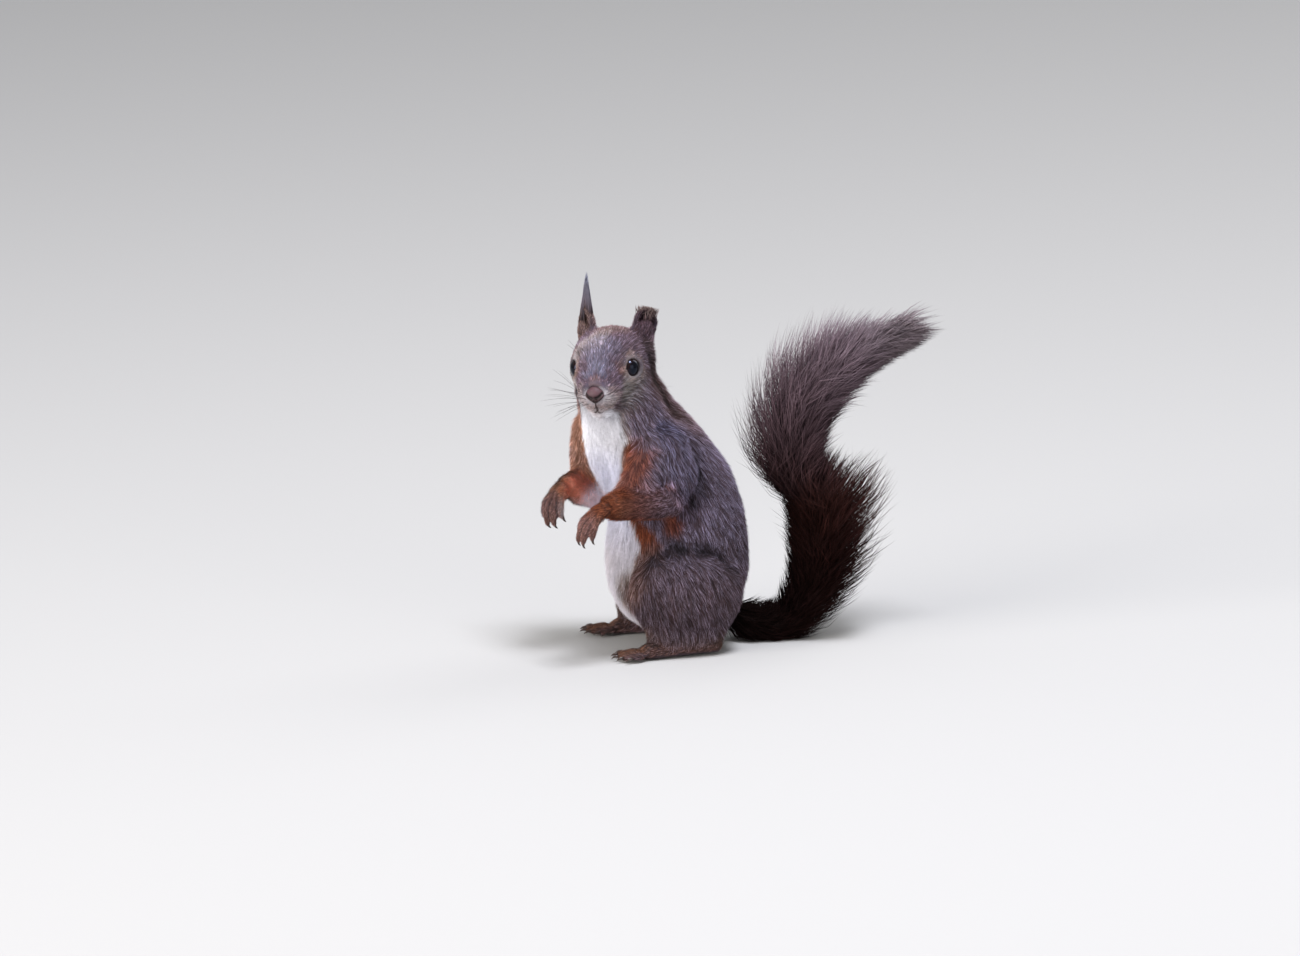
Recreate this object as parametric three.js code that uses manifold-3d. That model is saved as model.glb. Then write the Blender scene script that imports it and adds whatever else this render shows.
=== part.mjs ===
// A red squirrel of the dark brown form, life size, standing alert on its hind feet with
// its forepaws hanging before the chest, its head turned to its left and its tail raised.
// Millimetres, +Z up. The hips face -Y and the left side is +X; the chest is turned a little
// to the left of the hips and the head further still. Every outline is that of the coat, out
// to the tips of the hair.
import * as THREE from "three";
import { mergeVertices } from "three/addons/utils/BufferGeometryUtils.js";
import Module from "manifold-3d";

const wasm = await Module();
wasm.setup();

// ---- Driving dimensions ----------------------------------------------------------------

const gap = 0.34; // between nodes that touch
const weldWithin = 1e-3; // vertices closer than this are one
const left = 1;
const right = -1;

const chestCentre = at(4, -14.1, 101.2);
const chestTurn = THREE.MathUtils.degToRad(27); // to its left, from the hips
const headCentre = at(8, -27.4, 133.6);
const headTurn = THREE.MathUtils.degToRad(59.3); // to its left, from the hips
const headNod = THREE.MathUtils.degToRad(6); // nose down
const headTilt = THREE.MathUtils.degToRad(3.5); // left cheek up
const eyeRadius = 4.9;
const eyeCentre = { out: 11.3, front: 10.4, up: 1.3 }; // in the head's own frame
const lidRadius = 0.8;
const earHeight = 13.4;
const earLean = { [1]: 0.2, [-1]: 0.02 }; // the left one points outwards, the right one up
const noseTip = { front: 30.6, up: -4.7 };

const footLength = 58;
const toeLength = 13;
const fingerLength = 11;
const clawLength = 4.5;

const tailCore = 5; // at its thinnest
const coreShare = 0.4; // of the way out to the tips of the hair, where that is more
const tailHair = 36; // how far the longest tail hair stands out
const hollowHair = 6.5; // how far hair stands off the core in the hollow of the first bend
const plumeHair = 9; // and in the hollow of the second
const lockThick = 0.95; // half of a lock's thickness
const hairOffFloor = 0.9;
const tailSeed = 11;
const tuftLength = { [left]: 4, [right]: 15.5 }; // of the hair on an ear's tip

// ---- Shared helpers --------------------------------------------------------------------

function at(x, y, z) {
  return new THREE.Vector3(x, y, z);
}

// A seeded random number from 0 to 1.
function dice(seed) {
  let state = seed;
  return () => {
    state = (state * 1664525 + 1013904223) % 4294967296;
    return state / 4294967296;
  };
}

const mix = THREE.MathUtils.lerp;
const clamp = THREE.MathUtils.clamp;
const smooth = THREE.MathUtils.smoothstep;

// The geometry with shared vertices merged and only positions left.
function welded(geometry) {
  const bare = new THREE.BufferGeometry();
  bare.setAttribute("position", geometry.getAttribute("position"));
  bare.setIndex(geometry.index);
  return mergeVertices(bare, weldWithin);
}

// The geometry moved out along its own normals.
function grown(geometry, by) {
  const merged = welded(geometry);
  if (!by) return merged;
  merged.computeVertexNormals();
  const place = merged.getAttribute("position");
  const normal = merged.getAttribute("normal");
  for (let i = 0; i < place.count; i++) {
    place.setXYZ(
      i,
      place.getX(i) + normal.getX(i) * by,
      place.getY(i) + normal.getY(i) * by,
      place.getZ(i) + normal.getZ(i) * by,
    );
  }
  merged.deleteAttribute("normal");
  return merged;
}

function toSolid(geometry) {
  const merged = welded(geometry);
  const make = (triVerts) =>
    new wasm.Manifold(
      new wasm.Mesh({
        numProp: 3,
        vertProperties: merged.getAttribute("position").array,
        triVerts,
      }),
    );
  const triVerts = new Uint32Array(merged.index.array);
  const solid = make(triVerts);
  if (solid.volume() > 0) return solid;
  for (let i = 0; i < triVerts.length; i += 3) {
    [triVerts[i + 1], triVerts[i + 2]] = [triVerts[i + 2], triVerts[i + 1]];
  }
  return make(triVerts);
}

// The largest closed surface of a solid, which drops scraps and fills sealed hollows.
function largest(solid) {
  return solid.decompose().reduce((a, b) => (a.volume() > b.volume() ? a : b));
}

// The pieces joined into one solid, each first grown by the same amount.
function joined(pieces, by = 0) {
  return pieces
    .map((piece) => toSolid(grown(piece, by)))
    .reduce((a, b) => a.add(b));
}

// A rounded form that follows a smooth line through its sections. A section has a centre
// and half sizes: wide to both sides, up towards the back vector, down away from it.
// ends are the shares of the length over which each end is rounded.
function rounded({ sections, back, ends = [0.2, 0.2], bulges = [] }) {
  const line = new THREE.CatmullRomCurve3(sections.map((s) => s.at));
  const sizes = new THREE.CatmullRomCurve3(
    sections.map((s) => at(s.wide, s.up, s.down ?? s.up)),
  );

  function roundOff(u) {
    const head = u < ends[0] ? 1 - u / ends[0] : 0;
    const foot = 1 - u < ends[1] ? 1 - (1 - u) / ends[1] : 0;
    return Math.sqrt(Math.max(0, 1 - head * head)) * Math.sqrt(Math.max(0, 1 - foot * foot));
  }

  // The surface at u along the line and the angle round it: 0 is one side, a quarter turn
  // is the back.
  function point(u, angle) {
    const centre = line.getPoint(u);
    const ahead = line.getTangent(u);
    const size = sizes.getPoint(u);
    const rise = back.clone().addScaledVector(ahead, -back.dot(ahead)).normalize();
    const side = at(0, 0, 0).crossVectors(ahead, rise);
    const round = roundOff(u);
    const high = Math.sin(angle) > 0 ? size.y : size.z;
    const place = centre
      .addScaledVector(side, size.x * Math.cos(angle) * round)
      .addScaledVector(rise, high * Math.sin(angle) * round);
    for (const bulge of bulges) {
      const away = place.clone().sub(bulge.at);
      const share = Math.exp(-away.lengthSq() / (bulge.reach * bulge.reach));
      place.addScaledVector(bulge.push, share);
    }
    return place;
  }

  // A sphere's rings and columns laid over the form.
  function geometry(around, along) {
    const sphere = new THREE.SphereGeometry(1, around, along);
    const place = sphere.getAttribute("position");
    const share = sphere.getAttribute("uv");
    const perRow = around + 1;
    for (let i = 0; i < place.count; i++) {
      const ring = Math.floor(i / perRow);
      const even = 1 - share.getY(i);
      const u = mix(even, (1 - Math.cos(Math.PI * even)) / 2, 0.6);
      const column = ring === 0 || ring === along ? 0 : i % perRow;
      const spot = point(u, (2 * Math.PI * (column % around)) / around);
      place.setXYZ(i, spot.x, spot.y, spot.z);
    }
    return sphere;
  }

  return { point, geometry, line };
}

// A tapered, slightly flat spike along a bent path: a claw or a lock of hair. path(t) gives
// the place and flat(t) the direction of its broad side, both for t from 0 to 1.
function spike({ path, flat, wide, thick, sides, steps, belly = 0.35 }) {
  const cone = new THREE.ConeGeometry(1, 1, sides, steps);
  const place = cone.getAttribute("position");
  for (let i = 0; i < place.count; i++) {
    const t = clamp(place.getY(i) + 0.5, 0, 1);
    const spread = t < 1 ? Math.hypot(place.getX(i), place.getZ(i)) / (1 - t) : 0;
    const turn = Math.atan2(place.getZ(i), place.getX(i));
    const centre = path(t);
    const ahead = path(Math.min(1, t + 0.02)).sub(path(Math.max(0, t - 0.02))).normalize();
    const broad = flat(t);
    broad.addScaledVector(ahead, -broad.dot(ahead)).normalize();
    const thin = at(0, 0, 0).crossVectors(ahead, broad);
    const full = t < belly ? mix(0.62, 1, t / belly) : (1 - t) / (1 - belly);
    const size = spread * Math.pow(Math.max(0, full), 0.7);
    centre.addScaledVector(broad, wide * size * Math.cos(turn));
    centre.addScaledVector(thin, thick * size * Math.sin(turn));
    place.setXYZ(i, centre.x, centre.y, centre.z);
  }
  return cone;
}

// A smooth path through a few places, for spikes.
function bent(...places) {
  const curve = new THREE.CatmullRomCurve3(places);
  return (t) => curve.getPoint(t);
}

// ---- Torso and neck --------------------------------------------------------------------

const backwards = at(0, 1, 0);
const upwards = at(0, 0, 1);

const torso = rounded({
  back: backwards,
  ends: [0.17, 0.14],
  sections: [
    { at: at(0, 9, 3.5), wide: 23, up: 26, down: 22 }, // under the rump
    { at: at(0, 6, 24), wide: 28, up: 32.5, down: 31 }, // hips
    { at: at(0, 5, 43), wide: 28.5, up: 34, down: 33 }, // belly
    { at: at(0.5, 4, 58), wide: 28, up: 33, down: 31 }, // waist
    { at: at(1.5, 0, 74), wide: 27, up: 30.5, down: 27 }, // ribs
    { at: at(2.5, -6, 88), wide: 26, up: 29, down: 24 }, // chest
    { at: at(4, -12, 99), wide: 24, up: 26.5, down: 22 }, // shoulders
    { at: at(5.5, -17, 109), wide: 20, up: 20, down: 19 }, // collar
  ],
});

const neck = rounded({
  back: backwards,
  ends: [0.2, 0.2],
  sections: [
    { at: at(4.5, -14, 98), wide: 19, up: 19, down: 19 },
    { at: at(6, -21, 111), wide: 21, up: 20.5, down: 21 },
    { at: at(7.5, -25, 121), wide: 19, up: 18.5, down: 19 },
    { at: at(8, -27, 132), wide: 15, up: 15, down: 15 },
  ],
});

// ---- Head ------------------------------------------------------------------------------

// From the head's own frame, which faces -Y, to the squirrel's.
const headPlace = new THREE.Matrix4()
  .makeRotationZ(headTurn)
  .multiply(new THREE.Matrix4().makeRotationX(headNod))
  .multiply(new THREE.Matrix4().makeRotationY(-headTilt))
  .setPosition(headCentre);

function inHead(geometry) {
  return geometry.applyMatrix4(headPlace);
}

function headSpot(side, { out, front, up }) {
  return at(side * out, -front, up);
}

const bothSides = [left, right];
const cheekBulges = bothSides.flatMap((side) => [
  { at: at(side * 16, -5, -8), reach: 8, push: at(side * 1.2, -0.4, -0.4) }, // cheek
  { at: at(side * 7, -25, -9.5), reach: 5, push: at(side * 1.5, -0.4, -0.2) }, // whisker pad
  { at: at(side * 12.5, -14, 4), reach: 4.5, push: at(side * -1.4, 0.8, 0) }, // before the eye
  { at: at(side * 12, -7, 10), reach: 5, push: at(side * 0.9, 0, 0.4) }, // brow
]);

const head = rounded({
  back: upwards,
  ends: [0.2, 0.12],
  bulges: cheekBulges,
  sections: [
    { at: at(0, 20, 0), wide: 13, up: 11, down: 13 }, // back of the skull
    { at: at(0, 11, 0), wide: 17.3, up: 15, down: 16.5 },
    { at: at(0, 2, 0), wide: 19, up: 16.4, down: 17.6 }, // crown
    { at: at(0, -8, -1), wide: 17, up: 16, down: 16 }, // eyes
    { at: at(0, -16, -3.6), wide: 12.6, up: 12.8, down: 13 }, // bridge
    { at: at(0, -23, -6.2), wide: 9, up: 9.2, down: 9.4 }, // muzzle
    { at: at(0, -30.6, -7.6), wide: 6.4, up: 6, down: 6.2 }, // lips
  ],
});

const jaw = rounded({
  back: upwards,
  ends: [0.3, 0.25],
  sections: [
    { at: at(0, -4, -11), wide: 12, up: 5, down: 7.5 },
    { at: at(0, -15, -13.6), wide: 8.6, up: 4, down: 6 },
    { at: at(0, -27, -14.6), wide: 5, up: 2.6, down: 4 }, // chin
  ],
});

const eyes = bothSides.map((side) => {
  const ball = new THREE.SphereGeometry(eyeRadius, 14, 9);
  const spot = headSpot(side, eyeCentre);
  return inHead(ball.translate(spot.x, spot.y, spot.z));
});

// A rim round each eye, pulled into an almond and tilted with the cheek.
const lids = bothSides.map((side) => {
  const rim = new THREE.TorusGeometry(eyeRadius * 0.94, lidRadius, 5, 14);
  const spot = headSpot(side, eyeCentre);
  rim.scale(1.1, 0.92, 1);
  rim.rotateZ(side * -0.3);
  rim.translate(0, 0, eyeRadius * 0.45);
  rim.rotateY(side * 1.05);
  rim.rotateX(-0.08);
  rim.applyMatrix4(new THREE.Matrix4().makeBasis(at(1, 0, 0), at(0, 0, 1), at(0, -1, 0)));
  rim.translate(spot.x, spot.y, spot.z);
  return inHead(rim);
});

const nose = rounded({
  back: upwards,
  ends: [0.4, 0.45],
  sections: [
    { at: at(0, -noseTip.front + 5, noseTip.up + 0.4), wide: 2.6, up: 2, down: 2.4 },
    { at: at(0, -noseTip.front + 1.6, noseTip.up + 0.2), wide: 3.6, up: 2.6, down: 3.4 },
    { at: at(0, -noseTip.front - 1.6, noseTip.up), wide: 2.6, up: 1.8, down: 2.8 },
  ],
});

// Comma-shaped slits that run out and up from the front of the nose.
const nostrils = bothSides.map((side) => {
  const from = at(side * 0.9, -noseTip.front - 1.3, noseTip.up - 0.5);
  const to = at(side * 2.9, -noseTip.front - 0.3, noseTip.up + 0.6);
  const slit = spike({
    path: bent(from, from.clone().lerp(to, 0.5).add(at(0, -0.2, -0.25)), to),
    flat: () => at(0, 1, 0),
    wide: 0.75,
    thick: 0.5,
    sides: 6,
    steps: 3,
  });
  return inHead(slit);
});

// The mouth: a split from the nose down the lip, and a line that runs back on each side.
const lipSpots = [
  [0.965, 1.5 * Math.PI],
  [0.93, 1.5 * Math.PI + 0.2],
  [0.86, 1.5 * Math.PI + 0.62],
  [0.79, 1.5 * Math.PI + 0.86],
  [0.73, 1.5 * Math.PI + 0.94],
];
const lipCut = 0.5;
const lipLines = bothSides.map((side) => {
  const spots = lipSpots.map(([u, angle]) =>
    head.point(u, side === left ? angle : 3 * Math.PI - angle),
  );
  const curve = new THREE.CatmullRomCurve3(spots);
  const section = new THREE.Shape([
    new THREE.Vector2(lipCut, 0),
    new THREE.Vector2(0, lipCut),
    new THREE.Vector2(-lipCut, 0),
    new THREE.Vector2(0, -lipCut),
  ]);
  return inHead(
    new THREE.ExtrudeGeometry(section, { steps: 14, extrudePath: curve, bevelEnabled: false }),
  );
});
const lipSplit = inHead(
  spike({
    path: bent(
      at(0, -noseTip.front - 0.6, noseTip.up - 1.6),
      at(0, -noseTip.front - 0.4, noseTip.up - 3),
      head.point(0.975, 1.5 * Math.PI),
    ),
    flat: () => at(0, 1, 0),
    wide: 1.1,
    thick: 0.4,
    sides: 4,
    steps: 3,
  }),
);

// ---- Ears ------------------------------------------------------------------------------

const earSections = [
  { up: -9, wide: 5.6, back: 4.6 },
  { up: -1, wide: 6.6, back: 4.8 },
  { up: 5.5, wide: 6.7, back: 4 },
  { up: 11, wide: 5.2, back: 2.8 },
  { up: earHeight, wide: 3, back: 1.7 },
];
const earWall = 1.25;

// A place on an ear, by how far it is up, ahead of and across the ear's own middle.
function earFrame(side) {
  const rise = at(earLean[side], 0.3, 0.95).normalize();
  const front = at(side * 0.7, -0.7, 0.1);
  front.addScaledVector(rise, -front.dot(rise)).normalize();
  const base = at(side * 13.6, 8.6, 11.2);
  return (up, ahead, across = 0) =>
    base
      .clone()
      .addScaledVector(rise, up)
      .addScaledVector(front, ahead)
      .addScaledVector(at(0, 0, 0).crossVectors(rise, front), across);
}

function earShell(side) {
  const spot = earFrame(side);
  const behind = spot(0, 0).sub(spot(0, 1));
  const shell = rounded({
    back: behind,
    ends: [0.15, 0.22],
    sections: earSections.map((s) => ({
      at: spot(s.up, s.up * 0.05),
      wide: s.wide,
      up: s.back,
      down: 1.4,
    })),
  });
  const scoop = rounded({
    back: behind,
    ends: [0.35, 0.35],
    sections: earSections.slice(1).map((s) => ({
      at: spot(s.up * 0.82 + 0.8, s.up * 0.05 + 0.3),
      wide: Math.max(0.5, s.wide - earWall),
      up: Math.max(0.35, s.back - earWall),
      down: 4,
    })),
  });
  return {
    shell: inHead(shell.geometry(12, 9)),
    scoop: inHead(scoop.geometry(10, 7)),
  };
}

// Locks of hair that carry the ear on past its tip.
function earTuft(side) {
  const spot = earFrame(side);
  const roll = dice(tailSeed + side + 5);
  const count = side === left ? 3 : 5;
  const lean = side === left ? 2.5 : -1;
  return Array.from({ length: count }, (_, i) => {
    const spread = (i / (count - 1) - 0.5) * 2;
    const reach = tuftLength[side] * (1 - 0.3 * Math.abs(spread)) * mix(0.85, 1.05, roll());
    const from = earHeight - 1.5 - 1.2 * Math.abs(spread);
    const root = spot(from, -0.3, spread * 1.8);
    const bend = spot(from + reach * 0.5, -0.9 - lean * 0.3, spread * 2.9);
    const tip = spot(from + reach * 1.05 + 3, -1 - lean + roll(), spread * 1.6);
    return inHead(
      spike({
        path: bent(root, bend, tip),
        flat: () => spot(0, 0, 1).sub(spot(0, 0)),
        wide: 1.25,
        thick: 0.6,
        sides: 4,
        steps: 3,
      }),
    );
  });
}

// ---- Forelegs --------------------------------------------------------------------------

// A place given from the middle of the chest, which has its own turn.
function inChest(x, y, z) {
  return at(x, y, z).applyAxisAngle(upwards, chestTurn).add(chestCentre);
}

const forelegs = {
  [left]: {
    shoulder: inChest(18.5, -2, 5.5),
    upper: inChest(25, 0, -13),
    elbow: inChest(27.5, 2, -28),
    fore: inChest(26, -20, -28),
    wrist: inChest(22.5, -39, -26.5),
    knuckles: inChest(20.5, -46, -31),
    curl: 0.5,
  },
  [right]: {
    shoulder: inChest(-19.5, -5, 5.5),
    upper: inChest(-26, -5, -13),
    elbow: inChest(-28, -1, -27),
    fore: inChest(-23, -17, -26.5),
    wrist: inChest(-16.5, -30.5, -24),
    knuckles: inChest(-15.5, -37, -29),
    curl: 0.6,
  },
};

function upperArm(side) {
  const arm = forelegs[side];
  return rounded({
    back: backwards,
    ends: [0.3, 0.3],
    sections: [
      { at: arm.shoulder, wide: 9.5, up: 10.5 },
      { at: arm.upper, wide: 9.8, up: 11 },
      { at: arm.elbow, wide: 8.2, up: 8.6 },
    ],
  });
}

function foreArm(side) {
  const arm = forelegs[side];
  return rounded({
    back: upwards,
    ends: [0.2, 0.12],
    sections: [
      { at: arm.elbow.clone().add(at(0, 1, -0.5)), wide: 7.6, up: 8 },
      { at: arm.fore, wide: 6.4, up: 7 },
      { at: arm.wrist, wide: 4.5, up: 4.7 },
    ],
  });
}

// A paw is a flat palm with digits set side by side, each ending in a curved claw.
function digits({ count, base, ahead, side, drop, length, curl, radius, spread, claw }) {
  return Array.from({ length: count }, (_, i) => {
    const place = count > 1 ? (i / (count - 1)) * 2 - 1 : 0;
    const share = 1 - 0.2 * place * place; // the middle ones are longest
    const reach = length * share;
    const root = base
      .clone()
      .addScaledVector(side, place * spread)
      .addScaledVector(ahead, -0.8 - 1.6 * place * place);
    const way = ahead.clone().addScaledVector(side, place * 0.22).normalize();
    const step = (from, bend, far) =>
      from
        .clone()
        .addScaledVector(way, far * Math.cos(bend))
        .addScaledVector(drop, far * Math.sin(bend));
    const joint = step(root, curl * 0.5, reach * 0.45);
    const end = step(joint, curl * 1.5, reach * 0.4);
    const pad = step(end, curl * 2.1, reach * 0.15);
    const toe = rounded({
      back: drop.clone().negate(),
      ends: [0.2, 0.3],
      sections: [
        { at: root, wide: radius, up: radius },
        { at: joint, wide: radius * 0.92, up: radius },
        { at: end, wide: radius * 0.86, up: radius * 0.8 },
        { at: pad, wide: radius * 0.72, up: radius * 0.62 },
      ],
    });
    const under = curl * 2.1 + claw.dip;
    const root2 = end.clone().lerp(pad, 0.45).addScaledVector(drop, -radius * 0.15);
    const middle = step(root2, under, claw.length * 0.62);
    const tip = step(middle, under + claw.hook, claw.length * 0.6);
    return {
      flesh: toe.geometry(6, 4),
      claw: spike({
        path: bent(root2, middle, tip),
        flat: () => side.clone(),
        wide: 0.7,
        thick: 0.95,
        sides: 4,
        steps: 2,
        belly: 0.1,
      }),
    };
  });
}

function hand(side) {
  const arm = forelegs[side];
  const ahead = arm.knuckles.clone().sub(arm.wrist).normalize();
  const across = inChest(1, 0, 0).sub(chestCentre);
  across.addScaledVector(ahead, -across.dot(ahead)).normalize();
  const drop = at(0, 0, 0).crossVectors(across, ahead).normalize(); // towards the palm
  const palm = rounded({
    back: drop.clone().negate(),
    ends: [0.25, 0.3],
    sections: [
      { at: arm.wrist.clone().addScaledVector(ahead, -2), wide: 4.2, up: 3.8 },
      { at: arm.wrist.clone().lerp(arm.knuckles, 0.55), wide: 4.9, up: 3.4 },
      { at: arm.knuckles, wide: 5.2, up: 2.6 },
    ],
  });
  const fingers = digits({
    count: 4,
    base: arm.knuckles,
    ahead,
    side: across,
    drop,
    length: fingerLength,
    curl: arm.curl,
    radius: 1.55,
    spread: 4.1,
    claw: { length: clawLength, dip: 0.1, hook: 0.5 },
  });
  const thumbRoot = arm.wrist
    .clone()
    .lerp(arm.knuckles, 0.5)
    .addScaledVector(across, -side * 4.2)
    .addScaledVector(drop, 1);
  const thumb = rounded({
    back: upwards,
    ends: [0.3, 0.4],
    sections: [
      { at: thumbRoot, wide: 1.4, up: 1.3 },
      {
        at: thumbRoot.clone().addScaledVector(drop, 2.2).addScaledVector(across, -side * 1.1),
        wide: 1.2,
        up: 1.1,
      },
    ],
  });
  return [
    palm.geometry(10, 7),
    thumb.geometry(6, 5),
    ...fingers.flatMap((finger) => [finger.flesh, finger.claw]),
  ];
}

// ---- Hind legs -------------------------------------------------------------------------

const soleLift = 1.1; // the pads are trimmed this far into their roundness, flat on the floor

const kneeBack = { [left]: 0, [right]: 4 }; // the right knee is held further back

function thigh(side) {
  const back = kneeBack[side];
  return rounded({
    back: upwards,
    ends: [0.24, 0.22],
    sections: [
      { at: at(side * 16, 31, 26), wide: 11, up: 15, down: 15 },
      { at: at(side * 21, 18, 28), wide: 14, up: 20, down: 20 },
      { at: at(side * 23.5, 3 + back / 2, 29), wide: 14, up: 20.5, down: 20.5 },
      { at: at(side * 24, -11 + back, 29), wide: 12, up: 17.5, down: 18 },
      { at: at(side * 23.5, -24 + back, 28), wide: 9, up: 12, down: 13 },
    ],
  });
}

function shank(side) {
  return rounded({
    back: upwards,
    ends: [0.2, 0.2],
    sections: [
      { at: at(side * 25, -17, 15), wide: 8, up: 7, down: 7 },
      { at: at(side * 25.5, -4, 12), wide: 8, up: 7, down: 7 },
      { at: at(side * 25.5, 10, 10), wide: 6.5, up: 6.5, down: 6 },
      { at: at(side * 25, 22, 8.5), wide: 4.6, up: 5, down: 5 },
    ],
  });
}

function foot(side) {
  const heel = 21;
  const ball = heel - footLength + toeLength + clawLength;
  const sole = rounded({
    back: upwards,
    ends: [0.14, 0.16],
    sections: [
      { at: at(side * 24.5, heel, 5.6 - soleLift), wide: 4.4, up: 4.6, down: 5.6 },
      { at: at(side * 25, mix(heel, ball, 0.35), 5 - soleLift), wide: 5, up: 5, down: 5 },
      { at: at(side * 26, mix(heel, ball, 0.7), 4.6 - soleLift), wide: 5.8, up: 4.6, down: 4.6 },
      { at: at(side * 27, ball, 4.1 - soleLift), wide: 7, up: 3.6, down: 4.1 },
    ],
  });
  const toes = digits({
    count: 5,
    base: at(side * 27.2, ball + 1, 4.1 - soleLift),
    ahead: at(side * 0.1, -1, 0).normalize(),
    side: at(1, 0, 0),
    drop: at(0, 0, -1),
    length: toeLength,
    curl: 0.07,
    radius: 1.95,
    spread: 6.1,
    claw: { length: clawLength, dip: -0.1, hook: 0.45 },
  });
  return [sole.geometry(10, 8), ...toes.flatMap((toe) => [toe.flesh, toe.claw])];
}

// ---- Tail ------------------------------------------------------------------------------

// The tail leaves the rump along the floor, turns up behind the back and curls away at the
// tip. It lies in the body's middle plane.
const tailLine = new THREE.CatmullRomCurve3([
  at(0, 26, 15),
  at(0, 40, 8.5),
  at(0, 52, 6.1),
  at(0, 62.5, 12),
  at(0, 68.5, 28),
  at(0, 70, 48),
  at(0, 67.5, 66),
  at(0, 64.5, 80),
  at(0, 64.5, 93),
  at(0, 69, 106),
  at(0, 78.5, 118),
  at(0, 92, 128.5),
  at(0, 108, 137.5),
]);
const tailEnd = tailLine.getLength();

// How the tail bends at a share of its length: 1 where its upper side is hollow, -1 where
// its upper side is outermost.
function hollow(share) {
  return 1 - 2 * smooth(share, 0.4, 0.55);
}

// A place given by the length along the tail, the way out from its core and the angle
// round it: 0 is the upper side, a quarter turn is the left side.
function tailSpot(far, out, angle) {
  const share = clamp(far / tailEnd, 0, 1);
  const ahead = tailLine.getTangentAt(share);
  const upper = at(0, -ahead.z, ahead.y);
  return tailLine
    .getPointAt(share)
    .addScaledVector(ahead, Math.max(0, far - tailEnd))
    .addScaledVector(upper, out * Math.cos(angle))
    .addScaledVector(at(1, 0, 0), out * Math.sin(angle));
}

// How far the hair's tips stand out from the tail's line, at a share of its length and an
// angle round it.
function hairReach(share, angle) {
  const outermost = -Math.cos(angle) * hollow(share); // 1 outside the bend, -1 inside
  const least = tailCore + mix(hollowHair, plumeHair, smooth(share, 0.45, 0.65));
  const full = mix(least, tailHair, smooth(outermost, -0.9, 0.9));
  const ending = mix(1, 0.85, smooth(share, 0.4, 0.5)) * mix(1, 0.45, smooth(share, 0.58, 1));
  return mix(tailCore + hollowHair, full * ending, tailFullness(share));
}

function tailFullness(share) {
  return smooth(share, 0.08, 0.36);
}

// The tail within the locks, where their hair lies close.
function coreRadius(far, angle) {
  const share = far / tailEnd;
  return Math.max(tailCore, hairReach(share, angle) * coreShare * mix(1, 0.8, share));
}

// One lock: a blade with a ridge along its outer face. It comes out of the core, clears it,
// then sweeps out and back along the tail to its tip.
function tailLock(far, angle, roll) {
  const share = far / tailEnd;
  const core = coreRadius(far, angle);
  const clear = core + lockThick + 0.3;
  const reach = Math.max(clear + 3.5, hairReach(share, angle)) * mix(0.93, 1.04, roll());
  const long = mix(19, 35, tailFullness(share)) * mix(1, 0.78, smooth(share, 0.75, 1));
  const length = long * mix(0.9, 1.08, roll());
  const sway = mix(-0.09, 0.09, roll());
  const wide = mix(3.6, 5.4, tailFullness(share)) * mix(0.88, 1.1, roll());
  const rise = 0.16; // the share of the lock that is its root
  const path = (t) => {
    const sweep = 1 - Math.pow(1 - Math.max(0, t - rise) / (1 - rise), 1.35);
    const root = mix(core * 0.6, clear, Math.sin(Math.min(1, t / rise) * (Math.PI / 2)));
    const along = far + length * t * mix(1, 0.88, t);
    const beside = coreRadius(Math.min(along, tailEnd), angle) + lockThick + 0.3 + 4.5 * t;
    const out = t < rise ? root : Math.max(beside, mix(clear, reach, sweep));
    const spot = tailSpot(along, out, angle + sway * t * t);
    spot.z = Math.max(spot.z, hairOffFloor * (1 + 2 * t));
    return spot;
  };
  const broad = (t) =>
    tailSpot(far + length * t, 1, angle + 0.01).sub(tailSpot(far + length * t, 1, angle));
  return spike({ path, flat: broad, wide, thick: -lockThick, sides: 3, steps: 3, belly: 0.5 });
}

// The tail is parted into lengths. Each has its stretch of core and the locks rooted there.
const tailCuts = [0.02, 0.3, 0.52, 0.74, 1];
const locksRound = 8;
const lockSpacing = 9.7;
const clearEnds = 7; // from the ends of a length to the roots of its first and last locks

function tailLength(index) {
  const from = tailCuts[index] * tailEnd;
  const to = tailCuts[index + 1] * tailEnd;
  const last = index === tailCuts.length - 2;
  const roll = dice(tailSeed + index);
  const first = from + (index ? clearEnds : 0);
  const ending = to - (last ? 0 : clearEnds);
  const rows = Math.round((ending - first) / lockSpacing) + 1;
  const locks = [];
  for (let row = 0; row < rows; row++) {
    const far = mix(first, ending, row / (rows - 1));
    const round = far > 0.8 * tailEnd ? locksRound - 2 : locksRound;
    for (let i = 0; i < round; i++) {
      const angle = (2 * Math.PI * (i + (row % 2) * 0.5)) / round;
      locks.push(tailLock(far, angle, roll));
    }
  }
  if (last) {
    for (let i = 0; i < 4; i++) locks.push(tailLock(tailEnd - 1, (Math.PI * i) / 2, roll));
  }
  const stretch = rounded({
    back: at(0, -1, 1),
    ends: [0.001, last ? 0.3 : 0.001],
    sections: Array.from({ length: 7 }, (_, i) => {
      const far = mix(from + (index ? gap : 0), to, i / 6);
      return {
        at: tailSpot(far, 0, 0),
        wide: coreRadius(far, Math.PI / 2),
        up: coreRadius(far, 0),
        down: coreRadius(far, Math.PI),
      };
    }),
  });
  return [stretch.geometry(8, 6), ...locks];
}

// ---- Nodes -----------------------------------------------------------------------------

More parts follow.
